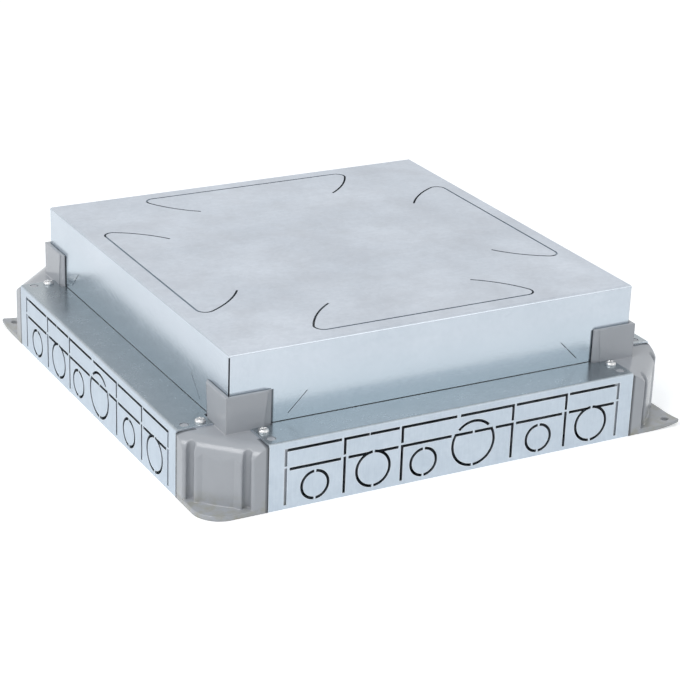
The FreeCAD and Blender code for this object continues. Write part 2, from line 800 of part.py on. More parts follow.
def pillar_outline(sketch, bevel):
    """The L of a pillar in plan, thinning to a bevel at each free edge."""
    inner = SIZE["pillar_inner"]
    outer = SIZE["pillar_outer"]
    start = SIZE["pillar_start"]
    edge = inner + SIZE["pillar_edge"]
    low = outer - SIZE["pillar_step"]
    points = [
        (inner, inner), (start, inner), (start, edge), (start + bevel, low),
        (start + bevel, outer), (outer, outer), (outer, start + bevel),
        (low, start + bevel), (edge, start), (inner, start),
    ]
    count = len(points)
    closed_chain(sketch, [line(points[i], points[(i + 1) % count]) for i in range(count)])


def moulding_core(wall, mark):
    """The hollow under the column, open at the foot."""
    sketch = flat_sketch("CoreOutline" + mark)
    near_side = SIZE["pillar_outer"] + wall
    start = SIZE["column_start"] + wall
    face = SIZE["box_half"] - SIZE["seat_gap"]
    edge = face - SIZE["nose_start_drop"] - wall
    diagonal = (face - SIZE["nose_drop"]) * math.sqrt(2) - wall
    cut = 2 * edge - diagonal * math.sqrt(2)
    points = [
        (near_side, near_side), (near_side, start), (edge, start), (edge, edge - cut),
        (edge - cut, edge), (start, edge), (start, near_side),
    ]
    count = len(points)
    closed_chain(sketch, [line(points[i], points[(i + 1) % count]) for i in range(count)])
    turn = SIZE["shoulder_round"]
    reach = diagonal - (shoulder_end() - turn)
    rise = math.sqrt((turn - wall) ** 2 - reach ** 2)
    return raised("Core" + mark, sketch, SIZE["flange_under"] - turn + rise)


def moulding_parts(ear):
    """The solids that make one corner moulding, with or without its ear."""
    mark = "Eared" if ear else "Plain"
    foot = flat_sketch("Foot" + mark)
    if ear:
        foot_outline_cut(foot, SIZE["ear_reach"])
    else:
        foot_outline(foot, SIZE["foot_round"])
    lip = block("Lip" + mark, "lip_start", "lip_start", "lip_bottom",
                "lip_reach", "lip_reach", "foot_height")

    column = flat_sketch("Column" + mark)
    column_outline(column)
    prism = raised("ColumnPrism" + mark, column, "flange_under")
    solids = [
        raised("FootSlab" + mark, foot, "foot_height"),
        lip,
        common("ColumnBody" + mark, prism, shoulder("ColumnShoulder" + mark)),
    ]

    wall = flat_sketch("Wall" + mark)
    pillar_outline(wall, SIZE["pillar_bevel_low"])
    solids.append(raised("InnerWall" + mark, wall, "flange_under"))
    low = flat_sketch("PillarLow" + mark, "flange_under")
    pillar_outline(low, SIZE["pillar_bevel_low"])
    high = flat_sketch("PillarHigh" + mark, "pillar_top")
    pillar_outline(high, SIZE["pillar_bevel_high"])
    pillar = doc.addObject("Part::Loft", "Pillar" + mark)
    pillar.Sections = [low, high]
    pillar.Solid = True
    pillar.Ruled = True
    solids.append(pillar)

    solids.append(block("ArmBack" + mark, "arm_start", "pillar_inner", 0,
                        "column_start", "arm_outer", "arm_top"))
    solids.append(block("ArmSide" + mark, "pillar_inner", "arm_start", 0,
                        "arm_outer", "column_start", "arm_top"))
    along, across = "fixing_place", "pin_line"
    for name, x, y in (("PinBack", along, across), ("PinSide", across, along)):
        solids.append(post(name + mark, x, y, "boss_height",
                           "Sizes.pin_hole / 2 - Sizes.pin_play", "pin_top"))
    solids.append(post("Boss" + mark, "level_place", "level_place", 0,
                       "Sizes.boss_width / 2", "boss_height"))
    web = SIZE["boss_web"] / 2
    place = SIZE["level_place"]
    inner = SIZE["pillar_inner"]
    solids.append(block("WebBack" + mark, place - web, place, 0, place + web, inner,
                        "boss_height"))
    solids.append(block("WebSide" + mark, place, place - web, 0, inner, place + web,
                        "boss_height"))
    if ear:
        solids.append(ear_tip())
    return fused("Moulding" + mark, solids)


def ear_tip():
    """The ear's tip: the foot plate curls up and thins towards the box's corner."""
    start = (2 * SIZE["box_half"] - SIZE["ear_reach"]) * math.sqrt(0.5)
    end = 2 * SIZE["box_half"] * math.sqrt(0.5)
    middle = (start + end) / 2
    thick = SIZE["foot_height"]
    tip = SIZE["ear_tip_sheet"]
    lift = SIZE["ear_curl"]
    sag = lift * 0.25
    bent = on_diagonal("EarStrip", [
        arc((start, 0), (middle, sag), (end, lift)),
        line((end, lift), (end, lift + tip)),
        arc((end, lift + tip), (middle, sag + (thick + tip) / 2), (start, thick)),
        line((start, thick), (start, 0)),
    ], SIZE["ear_reach"])
    plan = flat_sketch("EarPlan")
    foot_outline(plan, SIZE["ear_round"])
    return common("EarTip", bent, raised("EarPlanPrism", plan, "plate_height"))


def arm_core(name, flip, top):
    """The hollow under an arm, open at the foot."""
    wall = SIZE["moulding_wall"]
    along = (SIZE["arm_start"] + wall, SIZE["column_start"] - wall)
    across = (SIZE["pillar_outer"] + wall, SIZE["arm_outer"] - wall)
    x, y = (across, along) if flip else (along, across)
    return block("ArmCore" + name, x[0], y[0], -1, x[1], y[1], top)


def moulding_cuts(ear):
    """The hollows and holes of one corner moulding."""
    mark = "Eared" if ear else "Plain"
    wall = SIZE["moulding_wall"]
    place = SIZE["fixing_place"]
    deep = SIZE["plate_height"] - SIZE["screw_length"] - SIZE["seat_gap"]
    cuts = [moulding_core(wall, mark)]
    for name, flip in (("Back", False), ("Side", True)):
        cuts.append(arm_core(name + mark, flip, deep - wall))
        x, y = ("fixing_line", place) if flip else (place, "fixing_line")
        cuts.append(post(f"ScrewHole{name}{mark}", x, y, deep, "Sizes.screw_shank / 2",
                         "plate_height"))
    cuts.append(post("LevelBore" + mark, "level_place", "level_place", "level_foot",
                     "Sizes.level_bore", "plate_height"))
    cuts.append(post("CornerRivetHole" + mark, "corner_rivet_place", "corner_rivet_place", -1,
                     "Sizes.rivet_shank / 2", "foot_height"))
    if ear:
        cuts.append(post("EarHole", "ear_place", "ear_place", -1, "Sizes.ear_hole / 2",
                         "flange_under"))
    return fused("MouldingCuts" + mark, cuts)


def corner_mouldings():
    """Four mouldings; the two on one diagonal carry the fixing ears."""
    solids = {ear: (moulding_parts(ear), moulding_cuts(ear)) for ear in (False, True)}
    made = []
    for label, turn, ear in (
        ("corner_moulding_back_right", 0, False),
        ("corner_moulding_back_left", 90, True),
        ("corner_moulding_front_left", 180, False),
        ("corner_moulding_front_right", 270, True),
    ):
        corner = doc.addObject("Part::Cut", label)
        corner.Label = label
        corner.Base, corner.Tool = solids[ear]
        corner.Placement = placed(0, 0, 0, turn)
        made.append(corner)
    return made


# ---------------------------------------------------------------- levelling gear
CORNERS = (("back_right", 0), ("back_left", 90), ("front_left", 180), ("front_right", 270))


def level_screw(label, turn):
    """A collared screw; its slotted end is reached from above."""
    body = new_body(label, turn)
    body.Placement = placed(*turned(SIZE["level_place"], SIZE["level_place"], turn // 90), 0, turn)
    shank = SIZE["level_shank"] / 2
    tip = SIZE["level_clearance"] * 10
    foot = SIZE["level_foot"] + SIZE["level_clearance"]
    seat = SIZE["boss_height"] + SIZE["level_clearance"]
    collar = SIZE["level_collar"] / 2
    top = seat + SIZE["level_collar_height"]
    end = SIZE["level_top"]
    points = [
        (0, foot), (shank - tip, foot), (shank, foot + tip), (shank, seat), (collar, seat),
        (collar, top), (shank, top), (shank, end - tip), (shank - tip, end), (0, end),
    ]
    profile = sketch_on(body, "ScrewProfile", "XZ_Plane")
    count = len(points)
    closed_chain(profile, [line(points[i], points[(i + 1) % count]) for i in range(count)])
    turned_part = body.newObject("PartDesign::Revolution", "Screw")
    turned_part.Profile = profile
    turned_part.ReferenceAxis = (profile, ["V_Axis"])
    turned_part.Angle = 360
    slot = sketch_on(body, "DriveSlot", "XY_Plane", height="level_top")
    half = SIZE["level_slot"] / 2
    box_slot(slot, -SIZE["level_shank"], SIZE["level_shank"], -half, half)
    pocket(body, slot, "level_slot_depth")
    return body


def rail(label, turn):
    """An angle rail of the frame, mitred at both ends."""
    body = new_body(label, turn)
    profile = sketch_on(body, "RailProfile", "YZ_Plane")
    outline(
        profile,
        ("-rail_outer", "rail_bottom"), ("-rail_outer", "cover_under"),
        ("-rail_flange_edge", "cover_under"), ("-rail_flange_edge", "rail_under"),
        ("-rail_inner", "rail_under"), ("-rail_inner", "rail_bottom"),
    )
    bar = pad(body, profile, "cover_width", midplane=True)
    doc.recompute()
    bends = edges_where(bar.Shape, lambda edge, middle: near(middle.y, "-rail_outer")
                        and near(middle.z, "cover_under"))
    fillet(body, bar, bends, "rail_sheet")
    mitres = sketch_on(body, "RailMitres", "XY_Plane")
    far = SIZE["box_half"]
    gap = SIZE["seat_gap"] / 2
    for side in (-1, 1):
        points = [(0, -gap), (side * (far - gap), -far), (side * (far - gap), -gap)]
        closed_chain(mitres, [line(points[i], points[(i + 1) % 3]) for i in range(3)])
    pocket(body, mitres, reverse=True)
    return body


def lug(label, turn):
    """A corner bracket: two walls inside the rails and a floor with the nut."""
    body = new_body(label, turn)
    floor = sketch_on(body, "LugFloor", "XY_Plane", height="lug_bottom")
    inner = SIZE["lug_inner"]
    outer = SIZE["lug_outer"]
    cut = SIZE["lug_chamfer"]
    points = [(inner + cut, inner), (outer, inner), (outer, outer), (inner, outer),
              (inner, inner + cut)]
    count = len(points)
    closed_chain(floor, [line(points[i], points[(i + 1) % count]) for i in range(count)])
    circle(floor, "level_place", "level_place", "lug_hole")
    pad(body, floor, "lug_sheet")
    walls = sketch_on(body, "LugWalls", "XY_Plane", height="lug_bottom")
    outline(
        walls,
        ("lug_inner", "lug_outer"), ("lug_inner", "lug_wall_inner"),
        ("lug_wall_inner", "lug_wall_inner"), ("lug_wall_inner", "lug_inner"),
        ("lug_outer", "lug_inner"), ("lug_outer", "lug_outer"),
    )
    pad(body, walls, "lug_drop")
    return body


def frame_nuts():
    """Square weld nuts under the four lugs."""
    nuts = []
    for name, turn in CORNERS:
        x, y = turned(SIZE["level_place"], SIZE["level_place"], turn // 90)
        half = SIZE["nut_width"] / 2
        low = SIZE["lug_bottom"] - SIZE["nut_height"]
        blank = block("NutBlank" + name, x - half, y - half, low, x + half, y + half,
                      "lug_bottom")
        bore = post("NutBore" + name, x, y, low - 1, "Sizes.level_bore", "cover_under")
        nut = doc.addObject("Part::Cut", "Nut" + name)
        nut.Base = blank
        nut.Tool = bore
        nuts.append(nut)
    return joined("frame_nuts", nuts)


# ---------------------------------------------------------------- cover
def flap_slot(sketch, quarter):
    """One flap slot: a straight cut, two rounded corners, two curved sides."""
    out = SIZE["cover_half"] - SIZE["flap_inset"]
    centre = (SIZE["flap_sweep_side"], out + SIZE["flap_sweep_out"])
    sweep = SIZE["flap_sweep"]
    half = SIZE["flap_cut"] / 2
    small = SIZE["flap_round"]

    def on_circle(middle, radius, angle):
        return (middle[0] + radius * math.cos(angle), middle[1] + radius * math.sin(angle))

    # the rounded corner touches the straight cut and the curved side inside it
    round_out = out - small
    across = math.sqrt((sweep - small) ** 2 - (round_out - centre[1]) ** 2)
    corner = (centre[0] + across, round_out)
    join = math.atan2(corner[1] - centre[1], corner[0] - centre[0])
    end_out = out - SIZE["flap_end_in"] - centre[1]
    end = math.atan2(end_out, math.sqrt(sweep ** 2 - end_out ** 2))

    def side_edges(step):
        big = sweep + step
        tight = small + step
        turn = (join + math.pi / 2) / 2
        return [
            (on_circle(centre, big, end), on_circle(centre, big, (end + join) / 2),
             on_circle(centre, big, join)),
            (on_circle(corner, tight, join), on_circle(corner, tight, turn),
             on_circle(corner, tight, math.pi / 2)),
        ]

    def place(point, mirror):
        return turned(-point[0] if mirror else point[0], point[1], quarter)

    for step in (-half, half):
        for mirror in (False, True):
            for points in side_edges(step):
                closed_chain(sketch, [arc(*[place(point, mirror) for point in points])])
        closed_chain(sketch, [line(place((corner[0], out + step), False),
                                   place((corner[0], out + step), True))])
    for mirror in (False, True):
        closed_chain(sketch, [line(place(on_circle(centre, sweep - half, end), mirror),
                                   place(on_circle(centre, sweep + half, end), mirror))])


def slanted_slit(sketch, side):
    """A narrow slit at 45 degrees near the end of a skirt."""
    run = SIZE["slit_run"] / 2
    half = SIZE["slit_width"] / 2 * math.sqrt(0.5)
    place = side * SIZE["slit_place"]
    height = SIZE["cover_base"] + SIZE["slit_height"]
    points = [
        (place - side * (run + half), height + run - half),
        (place - side * (run - half), height + run + half),
        (place + side * (run + half), height - run + half),
        (place + side * (run - half), height - run - half),
    ]
    closed_chain(sketch, [line(points[i], points[(i + 1) % 4]) for i in range(4)])


def cover():
    """A flat square cover with four skirts folded down, open at the seams."""
    body = new_body("cover")
    outside = sketch_on(body, "CoverOutline", "XY_Plane", height="cover_base")
    outline(outside, ("-cover_half", "-cover_half"), ("cover_half", "-cover_half"),
            ("cover_half", "cover_half"), ("-cover_half", "cover_half"))
    blank = pad(body, outside, "skirt_height")
    doc.recompute()
    bends = edges_where(blank.Shape, lambda edge, middle: near(middle.z, "cover_top"))
    fillet(body, blank, bends, "cover_bend")
    inside = sketch_on(body, "CoverInside", "XY_Plane", height="cover_base")
    outline(inside, ("-cover_inner", "-cover_inner"), ("cover_inner", "-cover_inner"),
            ("cover_inner", "cover_inner"), ("-cover_inner", "cover_inner"))
    pocket(body, inside, "skirt_inside", reverse=True)

    seams = sketch_on(body, "CoverSeams", "XY_Plane", height="cover_base")
    half = SIZE["seam_width"] / 2 * math.sqrt(0.5)
    low = SIZE["cover_inner"] - SIZE["cover_sheet"]
    high = SIZE["cover_half"] + SIZE["cover_sheet"]
    for quarter in range(4):
        points = [turned(x, y, quarter) for x, y in (
            (low + half, low - half), (high + half, high - half),
            (high - half, high + half), (low - half, low + half))]
        closed_chain(seams, [line(points[i], points[(i + 1) % 4]) for i in range(4)])
    pocket(body, seams, "seam_height", reverse=True)

    for name, role in (("SlitsFrontBack", "XZ_Plane"), ("SlitsLeftRight", "YZ_Plane")):
        slits = sketch_on(body, name, role)
        slanted_slit(slits, -1)
        slanted_slit(slits, 1)
        pocket(body, slits, midplane=True)

    flaps = sketch_on(body, "FlapSlots", "XY_Plane", height="cover_top")
    for quarter in range(4):
        flap_slot(flaps, quarter)
    pocket(body, flaps, "cover_bend")
    return body


# ---------------------------------------------------------------- earth terminal
def hexagon(name, x, y, low, width, high, bore):
    """A hexagon nut blank with its bore."""
    prism = doc.addObject("Part::Prism", name + "Blank")
    prism.Polygon = 6
    prism.setExpression("Circumradius", f"Sizes.{width} / cos(30 deg) / 2")
    prism.Height = high - low
    prism.Placement = placed(x, y, low)
    hole = post(name + "Bore", x, y, low - 1, f"Sizes.{bore} / 2", high + 1)
    nut = doc.addObject("Part::Cut", name)
    nut.Base = prism
    nut.Tool = hole
    return nut


def earth_terminal():
    """A stud on the base plate with a washer between two nuts."""
    x = SIZE["earth_side"]
    y = SIZE["earth_place"]
    base = SIZE["base_sheet"]
    first = base + SIZE["earth_nut_height"]
    second = first + SIZE["earth_washer_height"]
    stud = doc.addObject("Part::Cylinder", "earth_stud")
    stud.Label = "earth_stud"
    stud.Placement = placed(x, y, 0)
    stud.setExpression("Radius", "Sizes.earth_shank / 2")
    bind(stud, Height="earth_height")
    disc = post("WasherDisc", x, y, first, "Sizes.earth_washer / 2", second)
    hole = post("WasherHole", x, y, base, "Sizes.earth_shank / 2", "earth_height")
    washer = doc.addObject("Part::Cut", "earth_washer")
    washer.Label = "earth_washer"
    washer.Base = disc
    washer.Tool = hole
    nuts = joined("earth_nuts", [
        hexagon("EarthNutLow", x, y, base, "earth_nut_width", first, "earth_shank"),
        hexagon("EarthNutHigh", x, y, second, "earth_nut_width",
                second + SIZE["earth_nut_height"], "earth_shank"),
    ])
    return [stud, washer, nuts]


# ---------------------------------------------------------------- build
PLATES = (("side_plate_front", 0), ("side_plate_right", 90),
          ("side_plate_back", 180), ("side_plate_left", 270))
RAILS = (("frame_rail_front", 0), ("frame_rail_right", 90),
         ("frame_rail_back", 180), ("frame_rail_left", 270))

nodes = [base_plate()]
nodes += [side_plate(label, turn) for label, turn in PLATES]
nodes += corner_mouldings()
nodes += [plate_rivets(), corner_rivets(), flange_screws()]
nodes += earth_terminal()
nodes += [level_screw("level_screw_" + name, turn) for name, turn in CORNERS]
nodes += [rail(label, turn) for label, turn in RAILS]
nodes += [lug("frame_lug_" + name, turn) for name, turn in CORNERS]
nodes += [frame_nuts(), cover()]
doc.recompute()

# ---------------------------------------------------------------- checks and export
for item in doc.Objects:
    if "Invalid" in item.State or "Error" in item.State:
        raise RuntimeError(f"{item.Label} failed: {item.State}")
for node in nodes:
    if node.Shape.isNull() or not node.Shape.isValid():
        raise RuntimeError(f"{node.Label} has no valid shape")

os.makedirs("parts", exist_ok=True)
for node in nodes:
    node.Shape.exportStep(f"parts/{node.Label}.step")
    box = node.Shape.BoundBox
    print(f"{node.Label:32s} solids {len(node.Shape.Solids):2d} volume {node.Shape.Volume:10.1f} "
          f"x {box.XMin:7.1f} {box.XMax:7.1f} y {box.YMin:7.1f} {box.YMax:7.1f} "
          f"z {box.ZMin:6.1f} {box.ZMax:6.1f}")
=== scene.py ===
# %% [markdown]
# # A floor socket box, dressed for rendering
# The box is cast into a floor. It has a steel base plate, four folded side plates with
# knock-outs for conduit, four moulded corners, a frame on four levelling screws and a
# loose steel cover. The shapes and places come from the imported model, so this lesson adds
# what the model leaves out: screw threads, driven heads, and the finish of each surface.

# %% Load the fixed frame and keep its box
import json
import math

import bmesh
import bpy
import numpy as np
from mathutils import Matrix, Vector


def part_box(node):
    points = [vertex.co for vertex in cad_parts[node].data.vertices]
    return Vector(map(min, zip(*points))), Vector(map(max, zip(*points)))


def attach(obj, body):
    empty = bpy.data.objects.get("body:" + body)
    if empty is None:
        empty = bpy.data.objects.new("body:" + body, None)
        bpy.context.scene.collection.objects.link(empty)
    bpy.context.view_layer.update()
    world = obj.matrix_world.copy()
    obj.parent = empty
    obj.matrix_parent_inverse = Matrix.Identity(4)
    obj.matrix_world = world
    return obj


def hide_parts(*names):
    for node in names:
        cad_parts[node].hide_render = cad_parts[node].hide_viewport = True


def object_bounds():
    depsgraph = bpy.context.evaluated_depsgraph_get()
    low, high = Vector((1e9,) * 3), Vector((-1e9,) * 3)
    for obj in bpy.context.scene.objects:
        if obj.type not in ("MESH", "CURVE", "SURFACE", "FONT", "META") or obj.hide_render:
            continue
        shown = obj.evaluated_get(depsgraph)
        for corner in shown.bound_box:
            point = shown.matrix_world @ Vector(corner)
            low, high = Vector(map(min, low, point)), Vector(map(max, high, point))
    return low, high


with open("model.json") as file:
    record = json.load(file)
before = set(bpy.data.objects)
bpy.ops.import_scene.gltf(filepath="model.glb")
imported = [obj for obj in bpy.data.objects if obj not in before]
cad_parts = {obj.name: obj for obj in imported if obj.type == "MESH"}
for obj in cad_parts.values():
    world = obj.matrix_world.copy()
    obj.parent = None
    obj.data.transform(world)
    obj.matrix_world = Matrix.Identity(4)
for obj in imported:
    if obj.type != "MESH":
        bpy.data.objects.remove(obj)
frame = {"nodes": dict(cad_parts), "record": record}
box_from_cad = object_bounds()
nodes = frame["nodes"]
scene = bpy.context.scene
print("CAD box, low and high:", [list(v) for v in box_from_cad])

# %% [markdown]
# ## Places that the finishes follow
# Some painted shade follows the box's shape: the cover's skirts are painted darker at their
# lower edge, and a dark line of painted shade stands where two pieces meet. Their places
# could be typed in. They are read from the imported nodes instead, so they are still right
# if a size of the model changes.

# %% Read the places from the imported nodes
def points_of(node):
    """The points of a CAD node in metres, one row each."""
    place = nodes[node].matrix_world
    return np.array([list(place @ vertex.co) for vertex in nodes[node].data.vertices])


box_half = box_from_cad[1][0]
plate_end, _, plate_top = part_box("side_plate_front")[1]
cover_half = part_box("cover")[1][0]
skirt_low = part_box("cover")[0][2]
moulding_points = points_of("corner_moulding_front_right")
pillar_top = moulding_points[:, 2].max()
pillar_rim = moulding_points[moulding_points[:, 2] > pillar_top - 0.0001]
pillar_edge = abs(pillar_rim[:, :2]).min()
print("plate ends at", round(plate_end, 4), "and its top is at", round(plate_top, 4))
print("pillar edge at", round(pillar_edge, 4), "and its top is at", round(pillar_top, 4))

# %% [markdown]
# ## Effects that several finishes share
# Zinc on steel shows three things at once: soft clouds where the coating cooled unevenly,
# fine lines along the direction the sheet was rolled, and bright edges, partly rubbed and
# partly a painted highlight. Dirt, dark lines of painted shade in the joints and a painted
# darker tone low on the skirts lie on top of them. Each could be drawn into every material
# by hand. A node group is better, because the effect is built once and each finish sets its
# own sizes and strengths.

# %% A helper that starts a node group
def new_group(name, inputs, outputs):
    """An empty group with float or vector inputs (name, kind, value) and named outputs."""
    group = bpy.data.node_groups.new(name, "ShaderNodeTree")
    for label, kind, value in inputs:
        socket = group.interface.new_socket(label, in_out="INPUT", socket_type=kind)
        if value is not None:
            socket.default_value = value
    for label, kind in outputs:
        group.interface.new_socket(label, in_out="OUTPUT", socket_type=kind)
    start = group.nodes.new("NodeGroupInput")
    end = group.nodes.new("NodeGroupOutput")
    return group, start, end


print("group helper ready")

# %% Helpers that add one node each
def fill(tree, socket, value):
    """Link another socket to this one, or give it a plain value."""
    if isinstance(value, bpy.types.NodeSocket):
        tree.links.new(value, socket)
    else:
        socket.default_value = value


def maths(tree, operation, first, second=None, clamp=False):
    """One Math node. Each operand is a number or a socket."""
    node = tree.nodes.new("ShaderNodeMath")
    node.operation = operation
    node.use_clamp = clamp
    fill(tree, node.inputs[0], first)
    if second is not None:
        fill(tree, node.inputs[1], second)
    return node.outputs[0]


def noise(tree, vector, scale, detail=3.0, roughness=0.55):
    """One Noise node on the given coordinates."""
    node = tree.nodes.new("ShaderNodeTexNoise")
    node.inputs["Detail"].default_value = detail
    node.inputs["Roughness"].default_value = roughness
    fill(tree, node.inputs["Scale"], scale)
    tree.links.new(vector, node.inputs["Vector"])
    return node.outputs["Fac"]


def remap(tree, value, low, high, to_low=0.0, to_high=1.0):
    """One clamped Map Range node."""
    node = tree.nodes.new("ShaderNodeMapRange")
    node.clamp = True
    pairs = (("Value", value), ("From Min", low), ("From Max", high), ("To Min", to_low),
             ("To Max", to_high))
    for label, number in pairs:
        fill(tree, node.inputs[label], number)
    return node.outputs["Result"]


print("node helpers ready")

# %% [markdown]
# ### Zinc clouds
# Hot-dipped sheet has pale and dark patches a few centimetres wide, with small crystals
# inside them. A noise gives the patches. A Voronoi texture gives the crystals, because
# its cells have straight borders as crystals have.

# %% The zinc clouds group
def zinc_clouds_group():
    """Patches and small crystals of a zinc coating, as one mask from 0 to 1."""
    group, start, end = new_group(
        "zinc_clouds",
        (("Vector", "NodeSocketVector", None), ("Patches per metre", "NodeSocketFloat", 20.0),
         ("Crystals per metre", "NodeSocketFloat", 300.0),
         ("Crystal share", "NodeSocketFloat", 0.3)),
        (("Mask", "NodeSocketFloat"),))
    patches = noise(group, start.outputs["Vector"], start.outputs["Patches per metre"], 4.0, 0.6)
    crystals = group.nodes.new("ShaderNodeTexVoronoi")
    group.links.new(start.outputs["Vector"], crystals.inputs["Vector"])
    group.links.new(start.outputs["Crystals per metre"], crystals.inputs["Scale"])
    tone = group.nodes.new("ShaderNodeSeparateColor")
    group.links.new(crystals.outputs["Color"], tone.inputs["Color"])
    mix = group.nodes.new("ShaderNodeMix")
    group.links.new(start.outputs["Crystal share"], mix.inputs["Factor"])
    group.links.new(remap(group, patches, 0.3, 0.7), mix.inputs["A"])
    group.links.new(tone.outputs["Red"], mix.inputs["B"])
    group.links.new(mix.outputs["Result"], end.inputs["Mask"])
    return group


zinc_clouds = zinc_clouds_group()
print("zinc_clouds:", len(zinc_clouds.nodes), "nodes")

# %% [markdown]
# ### Rolling lines
# A rolled sheet carries fine lines along its length. Stretching a noise along one axis
# makes them. The stretch is an input, so the same group draws upright lines on the side
# plates and long ones on the cover.

# %% The rolling lines group
def rolling_lines_group():
    """Fine lines of a rolled sheet. Stretch holds the frequency along each axis."""
    group, start, end = new_group(
        "rolling_lines",
        (("Vector", "NodeSocketVector", None), ("Stretch", "NodeSocketVector", (1.0, 1.0, 1.0)),
         ("Softness", "NodeSocketFloat", 0.3)),
        (("Mask", "NodeSocketFloat"),))
    scaled = group.nodes.new("ShaderNodeVectorMath")
    scaled.operation = "MULTIPLY"
    group.links.new(start.outputs["Vector"], scaled.inputs[0])
    group.links.new(start.outputs["Stretch"], scaled.inputs[1])
    fine = noise(group, scaled.outputs["Vector"], 1.0, 2.0, 0.5)
    low = maths(group, "SUBTRACT", 0.5, start.outputs["Softness"])
    high = maths(group, "ADD", 0.5, start.outputs["Softness"])
    group.links.new(remap(group, fine, low, high), end.inputs["Mask"])
    return group


rolling_lines = rolling_lines_group()
print("rolling_lines:", len(rolling_lines.nodes), "nodes")

# %% [markdown]
# ### Rubbed and highlighted edges
# Edges that were sheared or handled are brighter than the face. The same pale tone also
# stands in for the thin highlight along a bend or a moulded edge, so it is partly painted
# highlight. The Bevel node gives a normal that is rounded near an edge, so where it differs
# from the true normal there is an edge. That works on any mesh and doesn't depend on where
# the camera stands.

# %% The edge wear and highlight group
def edge_wear_and_highlight_group():
    """Where a surface is close to an edge, broken up by a noise."""
    edge_radius = 0.0011
    # How far the rounded normal turns away where the pale edge starts and where it is full.
    starts, full = 0.02, 0.22
    least_share = 0.35
    group, start, end = new_group(
        "edge_wear_and_highlight",
        (("Vector", "NodeSocketVector", None), ("Strength", "NodeSocketFloat", 1.0),
         ("Breaks per metre", "NodeSocketFloat", 120.0)),
        (("Mask", "NodeSocketFloat"),))
    bevel = group.nodes.new("ShaderNodeBevel")
    bevel.samples = 6
    bevel.inputs["Radius"].default_value = edge_radius
    geometry = group.nodes.new("ShaderNodeNewGeometry")
    dot = group.nodes.new("ShaderNodeVectorMath")
    dot.operation = "DOT_PRODUCT"
    group.links.new(bevel.outputs["Normal"], dot.inputs[0])
    group.links.new(geometry.outputs["Normal"], dot.inputs[1])
    turned = maths(group, "SUBTRACT", 1.0, dot.outputs["Value"])
    near = remap(group, turned, starts, full)
    breaks = noise(group, start.outputs["Vector"], start.outputs["Breaks per metre"])
    kept = remap(group, breaks, 0.35, 0.6, least_share, 1.0)
    broken = maths(group, "MULTIPLY", near, kept)
    group.links.new(maths(group, "MULTIPLY", broken, start.outputs["Strength"], clamp=True),
                    end.inputs["Mask"])
    return group


edge_wear_and_highlight = edge_wear_and_highlight_group()
print("edge_wear_and_highlight:", len(edge_wear_and_highlight.nodes), "nodes")

# %% [markdown]
# ### Settled dust and painted shade
# Dust gathers near the floor. The same mask paints a darker tone near the lower edge of a
# skirt, as painted reflection and shade. Painting them on by hand would need a map of the
# surface. The height above a level, broken up by a noise, is enough for a mask, and it is
# right on every side. Evenness fades the noise out, for an even tone without spots.

# %% The dust and painted shade group
def dust_and_painted_shade_group():
    """A mask for dust and painted shade that thins out from a level up to a height, both in
    metres.
    """
    group, start, end = new_group(
        "dust_and_painted_shade",
        (("Vector", "NodeSocketVector", None), ("Level", "NodeSocketFloat", 0.0),
         ("Height", "NodeSocketFloat", 0.008), ("Spots per metre", "NodeSocketFloat", 150.0),
         ("Evenness", "NodeSocketFloat", 0.0)),
        (("Mask", "NodeSocketFloat"),))
    split = group.nodes.new("ShaderNodeSeparateXYZ")
    group.links.new(start.outputs["Vector"], split.inputs["Vector"])
    above = maths(group, "SUBTRACT", split.outputs["Z"], start.outputs["Level"])
    share = maths(group, "DIVIDE", above, start.outputs["Height"])
    low = maths(group, "SUBTRACT", 1.0, share, clamp=True)
    spots = noise(group, start.outputs["Vector"], start.outputs["Spots per metre"], 4.0)
    spotted = maths(group, "MAXIMUM", remap(group, spots, 0.4, 0.7), start.outputs["Evenness"])
    group.links.new(maths(group, "MULTIPLY", low, spotted), end.inputs["Mask"])
    return group


dust_and_painted_shade = dust_and_painted_shade_group()
print("dust_and_painted_shade:", len(dust_and_painted_shade.nodes), "nodes")

# %% [markdown]
# ### Painted shade in the joints
# The real box shows a dark upright line of shade in the narrow gap where a plate's end meets
# a corner moulding, and another where a corner pillar's free edge stands before the cover.
# The solids leave only fractions of a millimetre there, too little to look dark, so the
# shade is painted into the finish as a dark line. The box is square: the smaller of |x| and
# |y| is the distance along a side, and the larger one says which face it is. Those two make
# the mask for every side at once.

# %% The painted shade line group
def gap_shade_line_group():
    """A dark line of painted shade beyond Face, Width to both sides of Start, and below Top."""
    # A power under 1 keeps more of the line dark than a straight fade would.
    fullness = 0.6
    group, start, end = new_group(
        "gap_shade_line",
        (("Vector", "NodeSocketVector", None), ("Start", "NodeSocketFloat", plate_end),
         ("Width", "NodeSocketFloat", 0.001), ("Face", "NodeSocketFloat", cover_half),
         ("Top", "NodeSocketFloat", plate_top)),
        (("Mask", "NodeSocketFloat"),))
    split = group.nodes.new("ShaderNodeSeparateXYZ")
    group.links.new(start.outputs["Vector"], split.inputs["Vector"])
    x = maths(group, "ABSOLUTE", split.outputs["X"])
    y = maths(group, "ABSOLUTE", split.outputs["Y"])
    along = maths(group, "SUBTRACT", maths(group, "MINIMUM", x, y), start.outputs["Start"])
    share = maths(group, "DIVIDE", along, start.outputs["Width"])
    fade = maths(group, "SUBTRACT", 1.0, maths(group, "ABSOLUTE", share), clamp=True)
    outside = maths(group, "GREATER_THAN", maths(group, "MAXIMUM", x, y), start.outputs["Face"])
    below = maths(group, "LESS_THAN", split.outputs["Z"], start.outputs["Top"])
    here = maths(group, "MULTIPLY", outside, below)
    line = maths(group, "POWER", fade, fullness)
    group.links.new(maths(group, "MULTIPLY", line, here), end.inputs["Mask"])
    return group


gap_shade_line = gap_shade_line_group()
print("gap_shade_line:", len(gap_shade_line.nodes), "nodes")
